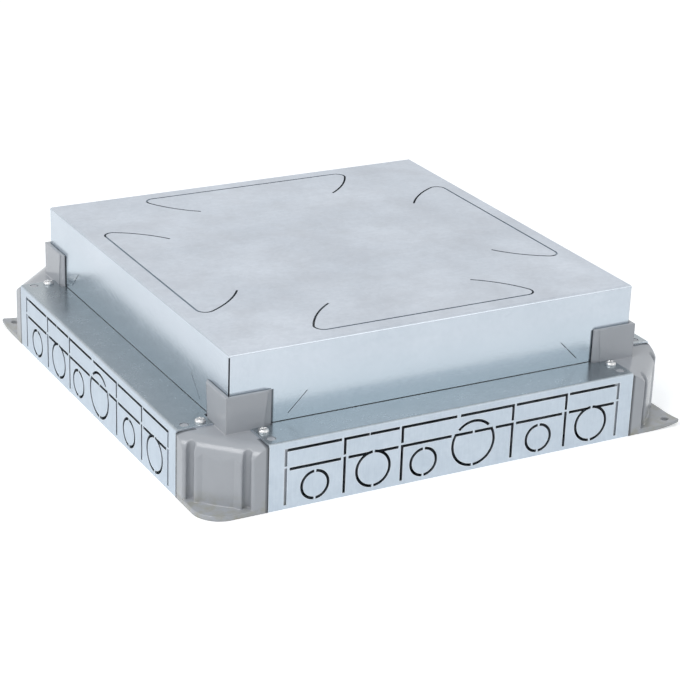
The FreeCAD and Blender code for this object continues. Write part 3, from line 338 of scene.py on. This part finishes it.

# %% Where the painted shade lines lie, in metres
beside_plates = {"Start": plate_end + 0.0001, "Width": 0.0022, "Face": box_half - 0.013,
                 "Top": plate_top - 0.0006}
beside_pillars = {"Start": pillar_edge - 0.0007, "Width": 0.0012,
                  "Face": cover_half - 0.0008, "Top": pillar_top - 0.0004}
print("lines at", round(beside_plates["Start"], 4), "and", round(beside_pillars["Start"], 4))

# %% [markdown]
# ## A small writer for materials
# Every finish here is a Principled BSDF with a mixed colour, a mapped roughness and a
# bump. A class that holds the node tree keeps each recipe short, so a reader sees the
# values of the finish and not the wiring.

# %% The material writer
class Finish:
    """One material: helpers that add shared groups and mix colours and values.

    place is the point on the object, and upward is 1 on faces that look up.
    """

    def __init__(self, name, metallic):
        self.material = bpy.data.materials.new(name)
        self.material.use_nodes = True
        self.tree = self.material.node_tree
        self.tree.nodes.clear()
        self.shader = self.tree.nodes.new("ShaderNodeBsdfPrincipled")
        self.shader.inputs["Metallic"].default_value = metallic
        out = self.tree.nodes.new("ShaderNodeOutputMaterial")
        self.tree.links.new(self.shader.outputs["BSDF"], out.inputs["Surface"])
        coordinates = self.tree.nodes.new("ShaderNodeTexCoord")
        self.place = coordinates.outputs["Object"]
        split = self.tree.nodes.new("ShaderNodeSeparateXYZ")
        self.tree.links.new(coordinates.outputs["Normal"], split.inputs["Vector"])
        self.upward = remap(self.tree, split.outputs["Z"], 0.5, 0.95)

    def effect(self, group, **values):
        """One shared group, with a value for each input named. Returns its mask."""
        node = self.tree.nodes.new("ShaderNodeGroup")
        node.node_tree = group
        self.tree.links.new(self.place, node.inputs["Vector"])
        for label, value in values.items():
            node.inputs[label.replace("_", " ")].default_value = value
        return node.outputs["Mask"]

    def blend(self, mask, first, second):
        """A colour between two, which are colours or sockets."""
        node = self.tree.nodes.new("ShaderNodeMix")
        node.data_type = "RGBA"
        # A Mix node has its sockets once for each kind of data. These are the colour ones.
        colour_a, colour_b, mixed = 6, 7, 2
        for index, value in ((colour_a, first), (colour_b, second)):
            colour = (*value, 1.0) if isinstance(value, tuple) else value
            fill(self.tree, node.inputs[index], colour)
        self.tree.links.new(mask, node.inputs["Factor"])
        return node.outputs[mixed]

    def colour(self, socket):
        """The colour of the whole surface."""
        self.tree.links.new(socket, self.shader.inputs["Base Color"])

    def between(self, mask, first, second):
        """A value between two numbers or sockets."""
        node = self.tree.nodes.new("ShaderNodeMix")
        for label, value in (("Factor", mask), ("A", first), ("B", second)):
            fill(self.tree, node.inputs[label], value)
        return node.outputs["Result"]

    def roughness(self, mask, low, high):
        """A roughness that follows a mask. Low and high are numbers or sockets."""
        self.tree.links.new(self.between(mask, low, high), self.shader.inputs["Roughness"])

    def bump(self, mask, depth, rounding=None):
        """A bump of the given depth, over edges rounded to a radius, both in metres."""
        node = self.tree.nodes.new("ShaderNodeBump")
        if rounding:
            soft = self.tree.nodes.new("ShaderNodeBevel")
            soft.samples = 8
            soft.inputs["Radius"].default_value = rounding
            self.tree.links.new(soft.outputs["Normal"], node.inputs["Normal"])
        node.inputs["Distance"].default_value = depth
        node.inputs["Strength"].default_value = 1.0
        self.tree.links.new(mask, node.inputs["Height"])
        self.tree.links.new(node.outputs["Normal"], self.shader.inputs["Normal"])


print("material writer ready")

# %% [markdown]
# ## The galvanised sheets
# The cover, the side plates, the base and the frame are all zinc-coated sheet, but they
# don't look alike. The cover has wide clouds, and the side plates have small ones and
# short upright lines. The cover's top is duller than its skirts. On a side plate it is
# the other way round: the flange on top is smoother than the upright face, and painted
# darker, as painted shade for the shadow of the cover above it. One material for all of them
# would lose that. So small functions give the surface, the tones and the gloss, and each
# sheet puts them together with its own values.

# %% The surface, tones and gloss of a sheet
ZINC_METALLIC = 0.85
ZINC_RELIEF = 0.00004


def zinc_surface(finish, patches, stretch, lines):
    """Clouds with a share of rolling lines, as one mask for tone, gloss and relief."""
    clouds = finish.effect(zinc_clouds, Patches_per_metre=patches, Crystals_per_metre=420.0,
                           Crystal_share=0.3)
    rolled = finish.effect(rolling_lines, Stretch=stretch, Softness=0.25)
    return finish.between(lines, clouds, rolled)


def zinc_face(finish, standing, lying, tone_of_wear_and_highlight, edge):
    """Upright and lying faces, each a colour socket, with a pale edge tone for wear and painted
    highlight.
    """
    face = finish.blend(finish.upward, standing, lying)
    # The pale edge tone is partly wear and partly painted highlight.
    return finish.blend(finish.effect(edge_wear_and_highlight, Strength=edge), face, tone_of_wear_and_highlight)


def zinc_gloss(finish, surface, standing, lying):
    """Roughness of upright and lying faces, each as (least, most), and the relief."""
    least = finish.between(finish.upward, standing[0], lying[0])
    most = finish.between(finish.upward, standing[1], lying[1])
    finish.roughness(surface, least, most)
    finish.bump(surface, ZINC_RELIEF)


print("sheet helpers ready, relief", ZINC_RELIEF * 1000, "mm")

# %% The plates, the base and the frame
def plain_sheet(name, standing, lying, tone_of_wear_and_highlight, patches, stretch, gloss):
    """Sheet without marks of its own. Standing and lying are (dark, pale) tones."""
    finish = Finish(name, ZINC_METALLIC)
    surface = zinc_surface(finish, patches, stretch, lines=0.35)
    upright_tone = finish.blend(surface, *standing)
    lying_tone = finish.blend(surface, *lying)
    finish.colour(zinc_face(finish, upright_tone, lying_tone, tone_of_wear_and_highlight, edge=0.8))
    zinc_gloss(finish, surface, *gloss)
    return finish.material


DULL = (0.34, 0.46)
# The plate's lying tones are darker than its standing ones: painted shade on the flange, under the
# cover.
plate_sheet = plain_sheet(
    "galvanised_plate", standing=((0.45, 0.515, 0.585), (0.57, 0.635, 0.70)),
    lying=((0.31, 0.355, 0.385), (0.415, 0.465, 0.50)), tone_of_wear_and_highlight=(0.82, 0.85, 0.87),
    patches=60.0, stretch=(900.0, 900.0, 120.0), gloss=(DULL, (0.20, 0.30)))

base_tones = ((0.46, 0.50, 0.54), (0.60, 0.64, 0.68))
base_sheet = plain_sheet(
    "galvanised_base", standing=base_tones, lying=base_tones, tone_of_wear_and_highlight=(0.75, 0.78, 0.80),
    patches=18.0, stretch=(40.0, 400.0, 400.0), gloss=(DULL, DULL))

frame_tones = ((0.45, 0.50, 0.54), (0.58, 0.63, 0.67))
frame_sheet = plain_sheet(
    "galvanised_frame", standing=frame_tones, lying=frame_tones, tone_of_wear_and_highlight=(0.75, 0.78, 0.80),
    patches=30.0, stretch=(200.0, 200.0, 600.0), gloss=(DULL, DULL))
print("plain sheets:", [m.name for m in (plate_sheet, base_sheet, frame_sheet)])

# %% [markdown]
# ### The cover
# The skirts darken towards their lower edge, where they mirror the flange and its shade. A
# satin metal renders too little of that, so a darker tone is painted in from the lower edge
# up, as painted reflection and shade. The top gets faint stains. Beside each corner pillar
# a dark line of painted shade stands on the skirt, for the narrow gap behind the pillar's
# free edge.

# %% The marks of the cover
def darker_skirt(finish, tone):
    """The upright tone, painted darker near the skirt's lower edge as painted reflection and
    shade.
    """
    painted_reflection_and_shade = finish.effect(dust_and_painted_shade, Level=skirt_low, Height=0.036, Spots_per_metre=30.0,
                         Evenness=0.75)
    # The darker tone mixed in here is painted reflection and shade, not a film on the metal.
    return finish.blend(painted_reflection_and_shade, tone, (0.50, 0.595, 0.66))


def stained_top(finish, tone):
    """The lying tone with faint stains. The great height lets them reach the top."""
    spots = finish.effect(dust_and_painted_shade, Height=10.0, Spots_per_metre=38.0)
    faint = maths(finish.tree, "MULTIPLY", spots, 0.22)
    return finish.blend(faint, tone, (0.36, 0.37, 0.40))


def shade_lines_at_pillars(finish, tone):
    """A dark line of painted shade on the skirts, just beside each pillar's free edge."""
    # This dark line is painted shade for the narrow gap behind the pillar.
    line = finish.effect(gap_shade_line, **beside_pillars)
    return finish.blend(line, tone, (0.03, 0.035, 0.045))


def marked_cover(name):
    """The cover's sheet: wide clouds, skirts painted darker below, a stained top and painted shade
    lines.
    """
    finish = Finish(name, ZINC_METALLIC)
    surface = zinc_surface(finish, 14.0, (30.0, 260.0, 260.0), lines=0.16)
    skirt = darker_skirt(finish, finish.blend(surface, (0.50, 0.555, 0.615), (0.60, 0.65, 0.71)))
    top = stained_top(finish, finish.blend(surface, (0.49, 0.54, 0.61), (0.67, 0.72, 0.79)))
    face = zinc_face(finish, skirt, top, (0.80, 0.83, 0.86), edge=0.2)
    finish.colour(shade_lines_at_pillars(finish, face))
    zinc_gloss(finish, surface, (0.17, 0.27), DULL)
    return finish.material


cover_sheet = marked_cover("galvanised_cover")
print("cover:", cover_sheet.name, "with", len(cover_sheet.node_tree.nodes), "nodes")

# %% [markdown]
# ## The moulded corners
# The corners are a smooth grey plastic, a little glossy, with the faint orange-peel skin
# that a moulding tool leaves and some dust near the floor. Plastic isn't metal, so its
# colour comes from the diffuse part and its gloss from a low roughness. A mould has no
# knife edges: a bevelled normal rounds them all, so each catches a thin line of light. A pale
# tone on the edges adds a painted highlight to that line, and a dark line of painted shade
# stands where a plate's end meets the corner.

# %% The moulded plastic
def moulded_plastic(name, tone, shade, dust, painted_edge_highlight, gap_shade_tone):
    """Grey moulded plastic with a fine skin, dust near the floor, painted edge highlights and
    painted shade at the joints.
    """
    finish = Finish(name, 0.0)
    skin = finish.effect(zinc_clouds, Patches_per_metre=260.0, Crystals_per_metre=1500.0,
                         Crystal_share=0.05)
    wide = finish.effect(zinc_clouds, Patches_per_metre=16.0, Crystals_per_metre=900.0,
                         Crystal_share=0.0)
    body = finish.blend(wide, shade, tone)
    dirt = finish.effect(dust_and_painted_shade, Height=0.012, Spots_per_metre=160.0)
    dusty = finish.blend(dirt, body, dust)
    # The pale edges here are painted highlight.
    with_edge_highlight = finish.blend(finish.effect(edge_wear_and_highlight, Strength=0.5), dusty, painted_edge_highlight)
    # joint is a line of painted shade where a plate's end meets the corner.
    joint = finish.effect(gap_shade_line, **beside_plates)
    finish.colour(finish.blend(joint, with_edge_highlight, gap_shade_tone))
    finish.roughness(skin, 0.15, 0.21)
    finish.bump(skin, 0.00003, rounding=0.0016)
    return finish.material


corner_plastic = moulded_plastic(
    "corner_plastic", tone=(0.425, 0.44, 0.468), shade=(0.385, 0.40, 0.428),
    dust=(0.36, 0.35, 0.28), painted_edge_highlight=(0.62, 0.63, 0.66), gap_shade_tone=(0.035, 0.04, 0.05))
print("plastic:", corner_plastic.name)

# %% [markdown]
# ## Small metal parts
# The screws and weld nuts are zinc plated, the rivets are bright steel, and the washer and
# nuts on the earth stud are brass. All are too small to show more than a fine cloud and a
# bright edge, so one recipe does for all of them.

# %% The plated and brass finishes
def plated(name, dark, pale, roughness):
    """Plated or solid small metal: fine clouds and bright edges."""
    finish = Finish(name, 1.0)
    clouds = finish.effect(zinc_clouds, Patches_per_metre=420.0, Crystals_per_metre=2500.0,
                           Crystal_share=0.25)
    face = finish.blend(clouds, dark, pale)
    rubbed = finish.effect(edge_wear_and_highlight, Strength=0.6, Breaks_per_metre=900.0)
    brighter = tuple(min(1.0, channel * 1.15) for channel in pale)
    finish.colour(finish.blend(rubbed, face, brighter))
    finish.roughness(clouds, *roughness)
    finish.bump(clouds, 0.00001)
    return finish.material


zinc_plate = plated("zinc_plate", (0.62, 0.63, 0.64), (0.78, 0.78, 0.78), (0.22, 0.34))
bright_steel = plated("bright_steel", (0.55, 0.56, 0.58), (0.70, 0.71, 0.72), (0.25, 0.38))
earth_brass = plated("earth_brass", (0.58, 0.43, 0.20), (0.74, 0.58, 0.30), (0.24, 0.36))
print("small metal:", [m.name for m in (zinc_plate, bright_steel, earth_brass)])

# %% [markdown]
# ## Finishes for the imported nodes
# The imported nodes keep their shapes, and the record says which slot each one has. The
# material could go on the mesh. It goes on the object's slot instead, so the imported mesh
# stays as it is.

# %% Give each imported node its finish
finish_of_slot = {"base": base_sheet, "plate": plate_sheet, "moulding": corner_plastic,
                  "frame": frame_sheet, "cover": cover_sheet, "rivet": bright_steel,
                  "levelling": zinc_plate, "brass": earth_brass, "screw": zinc_plate}
for part in frame["record"]["subparts"]:
    node = nodes[part["node"]]
    for slot_of_node in node.material_slots:
        slot_of_node.link = "OBJECT"
        slot_of_node.material = finish_of_slot[part["material_slot"]]

# %% [markdown]
# ## Turned pieces
# Screws, studs and rivets are turned, so their surface is a profile swept round an axis.
# A grid of rings and spokes is better here than a spin of a fixed profile, because the
# radius and the height may also change round the axis. That one freedom gives threads,
# crossed drives and slots. A solid profile starts and ends with a very small ring, and a
# flat cap closes it.

# %% A grid swept round an axis
def swept(name, rings, spokes, point, bored=False):
    """A closed mesh of rings. point(ring, angle) gives x, y and z about its own axis.

    A bored piece joins its last ring to its first. A solid one is capped at both ends.
    """
    sharpest_smooth = math.radians(38)
    shape = bmesh.new()
    loops = []
    for ring in range(rings):
        loop = []
        for spoke in range(spokes):
            angle = 2 * math.pi * spoke / spokes
            loop.append(shape.verts.new(point(ring, angle)))
        loops.append(loop)
    pairs = list(zip(loops, loops[1:]))
    if bored:
        pairs.append((loops[-1], loops[0]))
    else:
        shape.faces.new(tuple(reversed(loops[0])))
        shape.faces.new(tuple(loops[-1]))
    for low, high in pairs:
        for spoke in range(spokes):
            after = (spoke + 1) % spokes
            shape.faces.new((low[spoke], low[after], high[after], high[spoke]))
    bmesh.ops.recalc_face_normals(shape, faces=shape.faces)
    mesh = bpy.data.meshes.new(name)
    shape.to_mesh(mesh)
    shape.free()
    for face in mesh.polygons:
        face.use_smooth = True
    mesh.set_sharp_from_angle(angle=sharpest_smooth)
    return mesh


print("sweep ready")

# %% One object from a mesh at several places
def repeated(name, mesh, places, body, finish, stands_for, quarters=0):
    """One object made of the mesh at each place. It rides on a body, for a CAD node.

    quarters turns the mesh about its own axis by that many right angles.
    """
    turn = Matrix.Rotation(math.radians(90 * quarters), 3, "Z")
    shape = bmesh.new()
    for place in places:
        before = len(shape.verts)
        shape.from_mesh(mesh)
        shape.verts.ensure_lookup_table()
        for vertex in shape.verts[before:]:
            vertex.co = turn @ vertex.co + place
    joined = bpy.data.meshes.new(name)
    shape.to_mesh(joined)
    shape.free()
    joined.materials.append(finish)
    piece = bpy.data.objects.new(name, joined)
    scene.collection.objects.link(piece)
    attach(piece, body)
    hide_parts(stands_for)


print("repeating ready")

# %% [markdown]
# ## Where the fasteners are
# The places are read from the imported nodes, so that each dressed screw sits on its plain
# one. A node that holds several separate screws is split into islands, and the middle of
# each island is a screw's axis.

# %% Find the separate solids of a node
def islands(node):
    """The box of each separate solid of a CAD node, as (low corner, high corner)."""
    shape = bmesh.new()
    shape.from_mesh(nodes[node].data)
    bmesh.ops.remove_doubles(shape, verts=shape.verts, dist=1e-6)
    shape.verts.ensure_lookup_table()
    seen, found = set(), []
    for vertex in shape.verts:
        if vertex.index in seen:
            continue
        stack, shell = [vertex], []
        seen.add(vertex.index)
        while stack:
            at = stack.pop()
            shell.append(nodes[node].matrix_world @ at.co)
            for edge in at.link_edges:
                other = edge.other_vert(at)
                if other.index not in seen:
                    seen.add(other.index)
                    stack.append(other)
        points = np.array([list(point) for point in shell])
        found.append((points.min(0), points.max(0)))
    shape.free()
    return found


def spans(box):
    """Width, depth and height of a box."""
    low, high = box
    return [high[axis] - low[axis] for axis in range(3)]


def foot(box):
    """The middle of a box's underside."""
    low, high = box
    return Vector(((low[0] + high[0]) / 2, (low[1] + high[1]) / 2, low[2]))


solids_of = {}
for name in ("flange_screws", "plate_rivets", "corner_rivets", "frame_nuts", "earth_nuts"):
    solids_of[name] = islands(name)
    print(name, len(solids_of[name]), "solids, first", np.round(solids_of[name][0], 4).tolist())

# %% [markdown]
# ## The flange screws
# Eight small pan-head screws hold the side plates to the corners. On the real box they
# catch the light, and their crossed drive shows as a dark mark. The head is a shallow
# dome with a cross pressed into it, and the shank carries a coarse thread.

# %% Build a pan-head screw
def step_down(value, edge, width):
    """1 well inside an edge, 0 well outside it, smooth between."""
    share = min(1.0, max(0.0, (edge + width - value) / (2 * width)))
    return share * share * (3 - 2 * share)


def pan_head_profile(height, head_radius, head_height, shank_radius, pitch):
    """Rings from the tip at z 0 to the top of the head, each (radius, height, kind)."""
    seat = height - head_height
    tip = shank_radius * 1.6
    rim = 0.14
    # Powers under 1 make the head's dome fuller than a quarter of an ellipse.
    fullness_out, fullness_up = 0.62, 0.9
    rows = [(0.0002, 0.0, "plain")]
    for index in range(1, 5):
        rows.append((shank_radius * 0.8 * index / 4, tip * index / 4, "plain"))
    steps = int((seat - tip) / pitch * 6)
    for index in range(steps + 1):
        rows.append((shank_radius, tip + (seat - tip) * index / steps, "thread"))
    rows.append((head_radius * 0.97, seat, "plain"))
    rows.append((head_radius, seat + head_height * rim, "plain"))
    for index in range(1, 15):
        angle = index / 14 * math.pi / 2
        radius = head_radius * math.cos(angle) ** fullness_out
        rise = seat + head_height * (rim + (1 - rim) * math.sin(angle) ** fullness_up)
        rows.append((max(radius, head_radius * 0.03), rise, "head"))
    return rows


def pan_head_screw(height, head_radius, head_height, shank_radius, pitch):
    """A screw from its tip at z 0 to the top of its head, with a thread and a cross."""
    rows = pan_head_profile(height, head_radius, head_height, shank_radius, pitch)
    arm, reach = head_radius * 0.13, head_radius * 0.56
    cross_depth = head_height * 0.5
    thread_depth = shank_radius * 0.2

    def point(ring, angle):
        radius, z, kind = rows[ring]
        if kind == "thread":
            turn = (z / pitch - angle / (2 * math.pi)) % 1.0
            radius -= thread_depth * (1 - abs(2 * turn - 1))
        x, y = radius * math.cos(angle), radius * math.sin(angle)
        if kind == "head":
            across = step_down(min(abs(x), abs(y)), arm, arm * 0.35)
            along = step_down(max(abs(x), abs(y)), reach, reach * 0.25)
            z -= cross_depth * across * along
        return x, y, z

    return swept("pan_head_screw", len(rows), 48, point)


print("pan-head screw ready")

# %% Put the flange screws on
shells = solids_of["flange_screws"]
head_width, _, screw_height = spans(shells[0])
screw = pan_head_screw(screw_height, head_width / 2, head_height=0.0023, shank_radius=0.0015,
                       pitch=0.0011)
repeated("flange_screw_heads", screw, [foot(shell) for shell in shells], "base",
         zinc_plate, "flange_screws")
print("flange screws:", len(shells), "head", round(head_width * 1000, 2), "mm wide")

# %% [markdown]
# ## The rivets
# The rivets have domed heads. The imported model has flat-topped ones, so the dome is added
# here inside the same height.

# %% Build a domed rivet
def domed_rivet(height, head_radius, head_height, shank_radius):
    """A rivet with a dome on top, about x = y = 0, from z 0 to its height."""
    seat = height - head_height
    rows = [(shank_radius * 0.9, 0.0), (shank_radius, 0.0002), (shank_radius, seat),
            (head_radius, seat)]
    for index in range(1, 9):
        share = index / 8 * math.pi / 2
        rows.append((max(head_radius * math.cos(share), head_radius * 0.04),
                     seat + head_height * math.sin(share)))

    def point(ring, angle):
        radius, z = rows[ring]
        return radius * math.cos(angle), radius * math.sin(angle), z

    return swept("domed_rivet", len(rows), 32, point)


# %% Put the rivets on
for node, name in (("plate_rivets", "plate_rivet_domes"), ("corner_rivets", "corner_rivet_domes")):
    shells = solids_of[node]
    head_width, _, rivet_height = spans(shells[0])
    rivet = domed_rivet(rivet_height, head_width / 2, head_height=0.001, shank_radius=0.002)
    repeated(name, rivet, [foot(shell) for shell in shells], "base", bright_steel, node)
    print(name, len(shells), "rivets, height", round(rivet_height * 1000, 2), "mm")

# %% [markdown]
# ## The levelling screws
# Four threaded rods carry the frame. Each has a turned foot, a collar, a machine thread
# and a slot across its top, and each turns in its own nut. The thread is a wave in the
# radius that climbs one pitch each turn. Its pitch has to be the height that the frame
# gains in one turn, so it is worked out from the coupling of the joints.

# %% The wave of a thread
def thread_wave(height, angle, pitch):
    """0 on a crest and 1 in a root of a right-hand thread, with flat crests and roots."""
    turn = (height / pitch - angle / (2 * math.pi)) % 1.0
    return min(1.0, max(0.0, 2.4 * abs(2 * turn - 1) - 0.7))


print("thread wave ready")

# %% Build a levelling screw
def levelling_screw(bottom, top, collar_heights, shank, collar, pitch):
    """A plain foot, a collar, a threaded shank and a slotted end, about x = y = 0."""
    thread_depth = 0.0007
    half_slot = 0.0007
    slot_floor = top - 0.0022
    bevel = 0.0005
    rounding = 0.0004
    run_out = 0.0006
    low, high = collar_heights
    rows = [(0.0003, bottom, "plain"), (shank - bevel, bottom, "plain"),
            (shank, bottom + bevel, "plain"), (shank, low, "plain"),
            (collar - rounding, low, "plain"), (collar, low + rounding, "plain"),
            (collar, high - rounding, "plain"), (collar - rounding, high, "plain"),
            (shank, high, "plain")]
    start, end = high + run_out, top - bevel
    steps = int((end - start) / pitch * 10)
    for index in range(steps + 1):
        rows.append((shank, start + (end - start) * index / steps, "thread"))
    for index in range(8):
        rows.append(((shank - bevel) * (1 - index / 8), top, "end"))

    def point(ring, angle):
        radius, height, kind = rows[ring]
        if kind == "thread":
            radius -= thread_depth * thread_wave(height, angle, pitch)
        x, y = radius * math.cos(angle), radius * math.sin(angle)
        if kind != "plain" and abs(y) < half_slot:
            height = min(height, slot_floor)
        return x, y, height

    return swept("levelling_screw", len(rows), 64, point)


print("levelling screw ready")

# %% Put the levelling screws on
SHANK_RADIUS = 0.004
COLLAR_RADIUS = 0.007
NUT_CLEARANCE = 0.00005
radians_per_metre = frame["record"]["behaviour"]["couplings"][0]["ratio"]
lead = 2 * math.pi / abs(radians_per_metre)
screw_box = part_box("level_screw_front_left")
screw_points = points_of("level_screw_front_left")
from_axis = screw_points - np.array(foot(screw_box))
reach = np.hypot(from_axis[:, 0], from_axis[:, 1])
collar_points = screw_points[reach > (SHANK_RADIUS + COLLAR_RADIUS) / 2]
collar_heights = (collar_points[:, 2].min(), collar_points[:, 2].max())
level_screw = levelling_screw(screw_box[0][2], screw_box[1][2], collar_heights, SHANK_RADIUS,
                              COLLAR_RADIUS, lead)
print("collar from", np.round(collar_heights, 5).tolist(), "lead", round(lead * 1000, 3), "mm")

for quarters, corner in enumerate(("back_right", "back_left", "front_left", "front_right")):
    axis = foot(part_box("level_screw_" + corner))
    axis.z = 0.0
    repeated("threaded_screw_" + corner, level_screw, [axis], "screw_" + corner,
             zinc_plate, "level_screw_" + corner, quarters)
    print("threaded_screw_" + corner, "on", np.round(axis, 4).tolist())

# %% [markdown]
# ## Nuts and the earth stud
# A nut is a tube. Its outside follows a polygon, and its corners are cut back by a cone,
# as a real nut's are, which leaves a curved line on each flat. The four weld nuts under
# the frame are square, and the two on the earth stud are hexagons. The stud itself gets
# a fine thread.

# %% Build chamfered nuts
def chamfered_nut(sides, across, height, bore, first_flat):
    """A nut from z 0 to its height. first_flat is the angle of the middle of a flat.

    Its rings are shares: how far out from the bore to the outside, and how far up.
    """
    flat = across / 2
    chamfer_start = flat * 1.02
    chamfer_slope = 0.55
    step = 2 * math.pi / sides
    underside = [(out, 0.0) for out in (0.0, 0.25, 0.6)]
    outside = [(1.0, up) for up in (0.0, 0.12, 0.24, 0.5, 0.76, 0.88, 1.0)]
    top_and_bore = [(out, 1.0) for out in (0.6, 0.25, 0.0)] + [(0.0, 0.5)]
    rows = underside + outside + top_and_bore

    def point(ring, angle):
        out, up = rows[ring]
        off = (angle - first_flat + step / 2) % step - step / 2
        reach = flat / math.cos(off)
        beyond = (reach - chamfer_start) * chamfer_slope
        radius = bore + (reach - bore) * out
        rise = height * up
        if out == 1.0 and beyond > 0:
            rise = min(max(rise, beyond), height - beyond)
        return radius * math.cos(angle), radius * math.sin(angle), rise

    return swept("nut", len(rows), 72, point, bored=True)


print("nut ready")

# %% Put the nuts on
shells = solids_of["frame_nuts"]
across, _, nut_height = spans(shells[0])
nut = chamfered_nut(4, across, nut_height, bore=SHANK_RADIUS + NUT_CLEARANCE, first_flat=0.0)
repeated("frame_weld_nuts", nut, [foot(shell) for shell in shells], "frame",
         zinc_plate, "frame_nuts")
print("frame_weld_nuts:", len(shells), "square nuts")

shells = sorted(solids_of["earth_nuts"], key=lambda shell: shell[0][2])
width, depth, nut_height = spans(shells[0])
across = min(width, depth)
flat_angle = 0.0 if width < depth else math.pi / 2
nut = chamfered_nut(6, across, nut_height, bore=0.003, first_flat=flat_angle)
repeated("earth_hexagon_nuts", nut, [foot(shell) for shell in shells], "base",
         earth_brass, "earth_nuts")
print("earth_hexagon_nuts:", len(shells), "nuts,", round(across * 1000, 2), "mm over the flats")

# %% Thread the earth stud
def threaded_stud(length, radius, pitch):
    """A stud with bevelled ends and a thread all along, about x = y = 0."""
    bevel = 0.0006
    thread_depth = 0.0003
    threaded_length = length - 2 * bevel
    rows = [(0.0003, 0.0, False), (radius - bevel, 0.0, False)]
    steps = int(threaded_length / pitch * 8)
    for index in range(steps + 1):
        rows.append((radius, bevel + threaded_length * index / steps, True))
    rows += [(radius - bevel, length, False), (0.0003, length, False)]

    def point(ring, angle):
        reach, height, threaded = rows[ring]
        if threaded:
            reach -= thread_depth * thread_wave(height, angle, pitch)
        return reach * math.cos(angle), reach * math.sin(angle), height

    return swept("threaded_stud", len(rows), 40, point)


stud_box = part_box("earth_stud")
stud_width, _, stud_length = spans(stud_box)
stud = threaded_stud(stud_length, stud_width / 2, pitch=0.001)
repeated("threaded_earth_stud", stud, [foot(stud_box)], "base", zinc_plate,
         "earth_stud")
print("threaded_earth_stud:", round(stud_length * 1000, 2), "mm long")

# %% [markdown]
# ## Floor, world and lamps
# The box stands on a white floor in a white room, under large soft lamps, so that its
# metal reflects an even white and shadows stay soft. A strong white world would wash the
# colours out. So the camera and the mirrored rays see full white, and the light that
# falls on the box comes from a weaker, slightly blue one.

# %% The world
def background(tree, colour, strength):
    """One Background node of a plain colour."""
    node = tree.nodes.new("ShaderNodeBackground")
    node.inputs["Color"].default_value = (*colour, 1.0)
    node.inputs["Strength"].default_value = strength
    return node.outputs["Background"]


def white_room():
    """A world that is white where it is seen or mirrored, and lights a little less."""
    world = bpy.data.worlds.new("white_room")
    world.use_nodes = True
    tree = world.node_tree
    tree.nodes.clear()
    path = tree.nodes.new("ShaderNodeLightPath")
    shown = maths(tree, "MAXIMUM", path.outputs["Is Camera Ray"], path.outputs["Is Glossy Ray"])
    shown = maths(tree, "MAXIMUM", shown, path.outputs["Is Transmission Ray"])
    either = tree.nodes.new("ShaderNodeMixShader")
    out = tree.nodes.new("ShaderNodeOutputWorld")
    tree.links.new(shown, either.inputs["Fac"])
    tree.links.new(background(tree, (0.93, 0.97, 1.0), 0.62), either.inputs[1])
    tree.links.new(background(tree, (1.0, 1.0, 1.0), 1.0), either.inputs[2])
    tree.links.new(either.outputs["Shader"], out.inputs["Surface"])
    return world


scene.world = white_room()
print("world:", scene.world.name)

# %% The floor
def pale_floor():
    """A wide round floor that looks white and still keeps the shadow."""
    radius = 9.0
    below_box = 0.0002
    glow = 0.45
    material = bpy.data.materials.new("pale_floor")
    material.use_nodes = True
    tree = material.node_tree
    tree.nodes.clear()
    matt = tree.nodes.new("ShaderNodeBsdfDiffuse")
    matt.inputs["Color"].default_value = (0.88, 0.88, 0.88, 1.0)
    lift = tree.nodes.new("ShaderNodeEmission")
    path = tree.nodes.new("ShaderNodeLightPath")
    seen = maths(tree, "MAXIMUM", path.outputs["Is Camera Ray"], path.outputs["Is Glossy Ray"])
    tree.links.new(maths(tree, "MULTIPLY", seen, glow), lift.inputs["Strength"])
    both = tree.nodes.new("ShaderNodeAddShader")
    out = tree.nodes.new("ShaderNodeOutputMaterial")
    tree.links.new(matt.outputs["BSDF"], both.inputs[0])
    tree.links.new(lift.outputs["Emission"], both.inputs[1])
    tree.links.new(both.outputs["Shader"], out.inputs["Surface"])
    shape = bmesh.new()
    bmesh.ops.create_circle(shape, cap_ends=True, segments=96, radius=radius)
    mesh = bpy.data.meshes.new("floor")
    shape.to_mesh(mesh)
    shape.free()
    mesh.materials.append(material)
    floor = bpy.data.objects.new("floor", mesh)
    floor.location = (0.0, 0.0, box_from_cad[0][2] - below_box)
    scene.collection.objects.link(floor)
    return floor


pale_floor()
print("floor just under z", round(box_from_cad[0][2], 5))

# %% The lamps
def soft_lamp(name, place, size, power):
    """A square area lamp at a place, turned to the middle of the box."""
    aim = Vector((0.0, 0.0, 0.04))
    data = bpy.data.lights.new(name, "AREA")
    data.shape = "SQUARE"
    data.size = size
    data.energy = power
    lamp = bpy.data.objects.new(name, data)
    lamp.location = place
    lamp.rotation_euler = (aim - Vector(place)).to_track_quat("-Z", "Y").to_euler()
    scene.collection.objects.link(lamp)


soft_lamp("key_lamp", (-1.1, -0.5, 1.7), size=0.8, power=11.0)
soft_lamp("fill_lamp", (0.9, -1.7, 0.9), size=0.8, power=2.0)
soft_lamp("side_lamp", (-1.9, 0.3, 0.7), size=1.0, power=5.5)

# %% [markdown]
# ## The camera
# The camera looks down on the near corner from about a metre and a half, with a long
# lens, so the box keeps its true proportions. Three turns place it: the heading round the
# upright axis, the tilt from straight down, and a lean of two degrees about its own view.

# %% The camera
camera_data = bpy.data.cameras.new("camera")
camera_data.lens = 113.484
camera_data.sensor_width = 36.0
camera_data.clip_start = 0.05
camera = bpy.data.objects.new("camera", camera_data)
heading = Matrix.Rotation(math.radians(-29.03624), 3, "Z")
tilt = Matrix.Rotation(math.radians(67.52565), 3, "X")
lean = Matrix.Rotation(math.radians(2.02861), 3, "Z")
turned = (heading @ tilt @ lean).to_4x4()
camera.matrix_world = Matrix.Translation((-0.65223, -1.19258, 0.58674)) @ turned
scene.collection.objects.link(camera)
scene.camera = camera
scene.view_settings.view_transform = "Standard"
print("camera at", [round(v, 3) for v in camera.location])
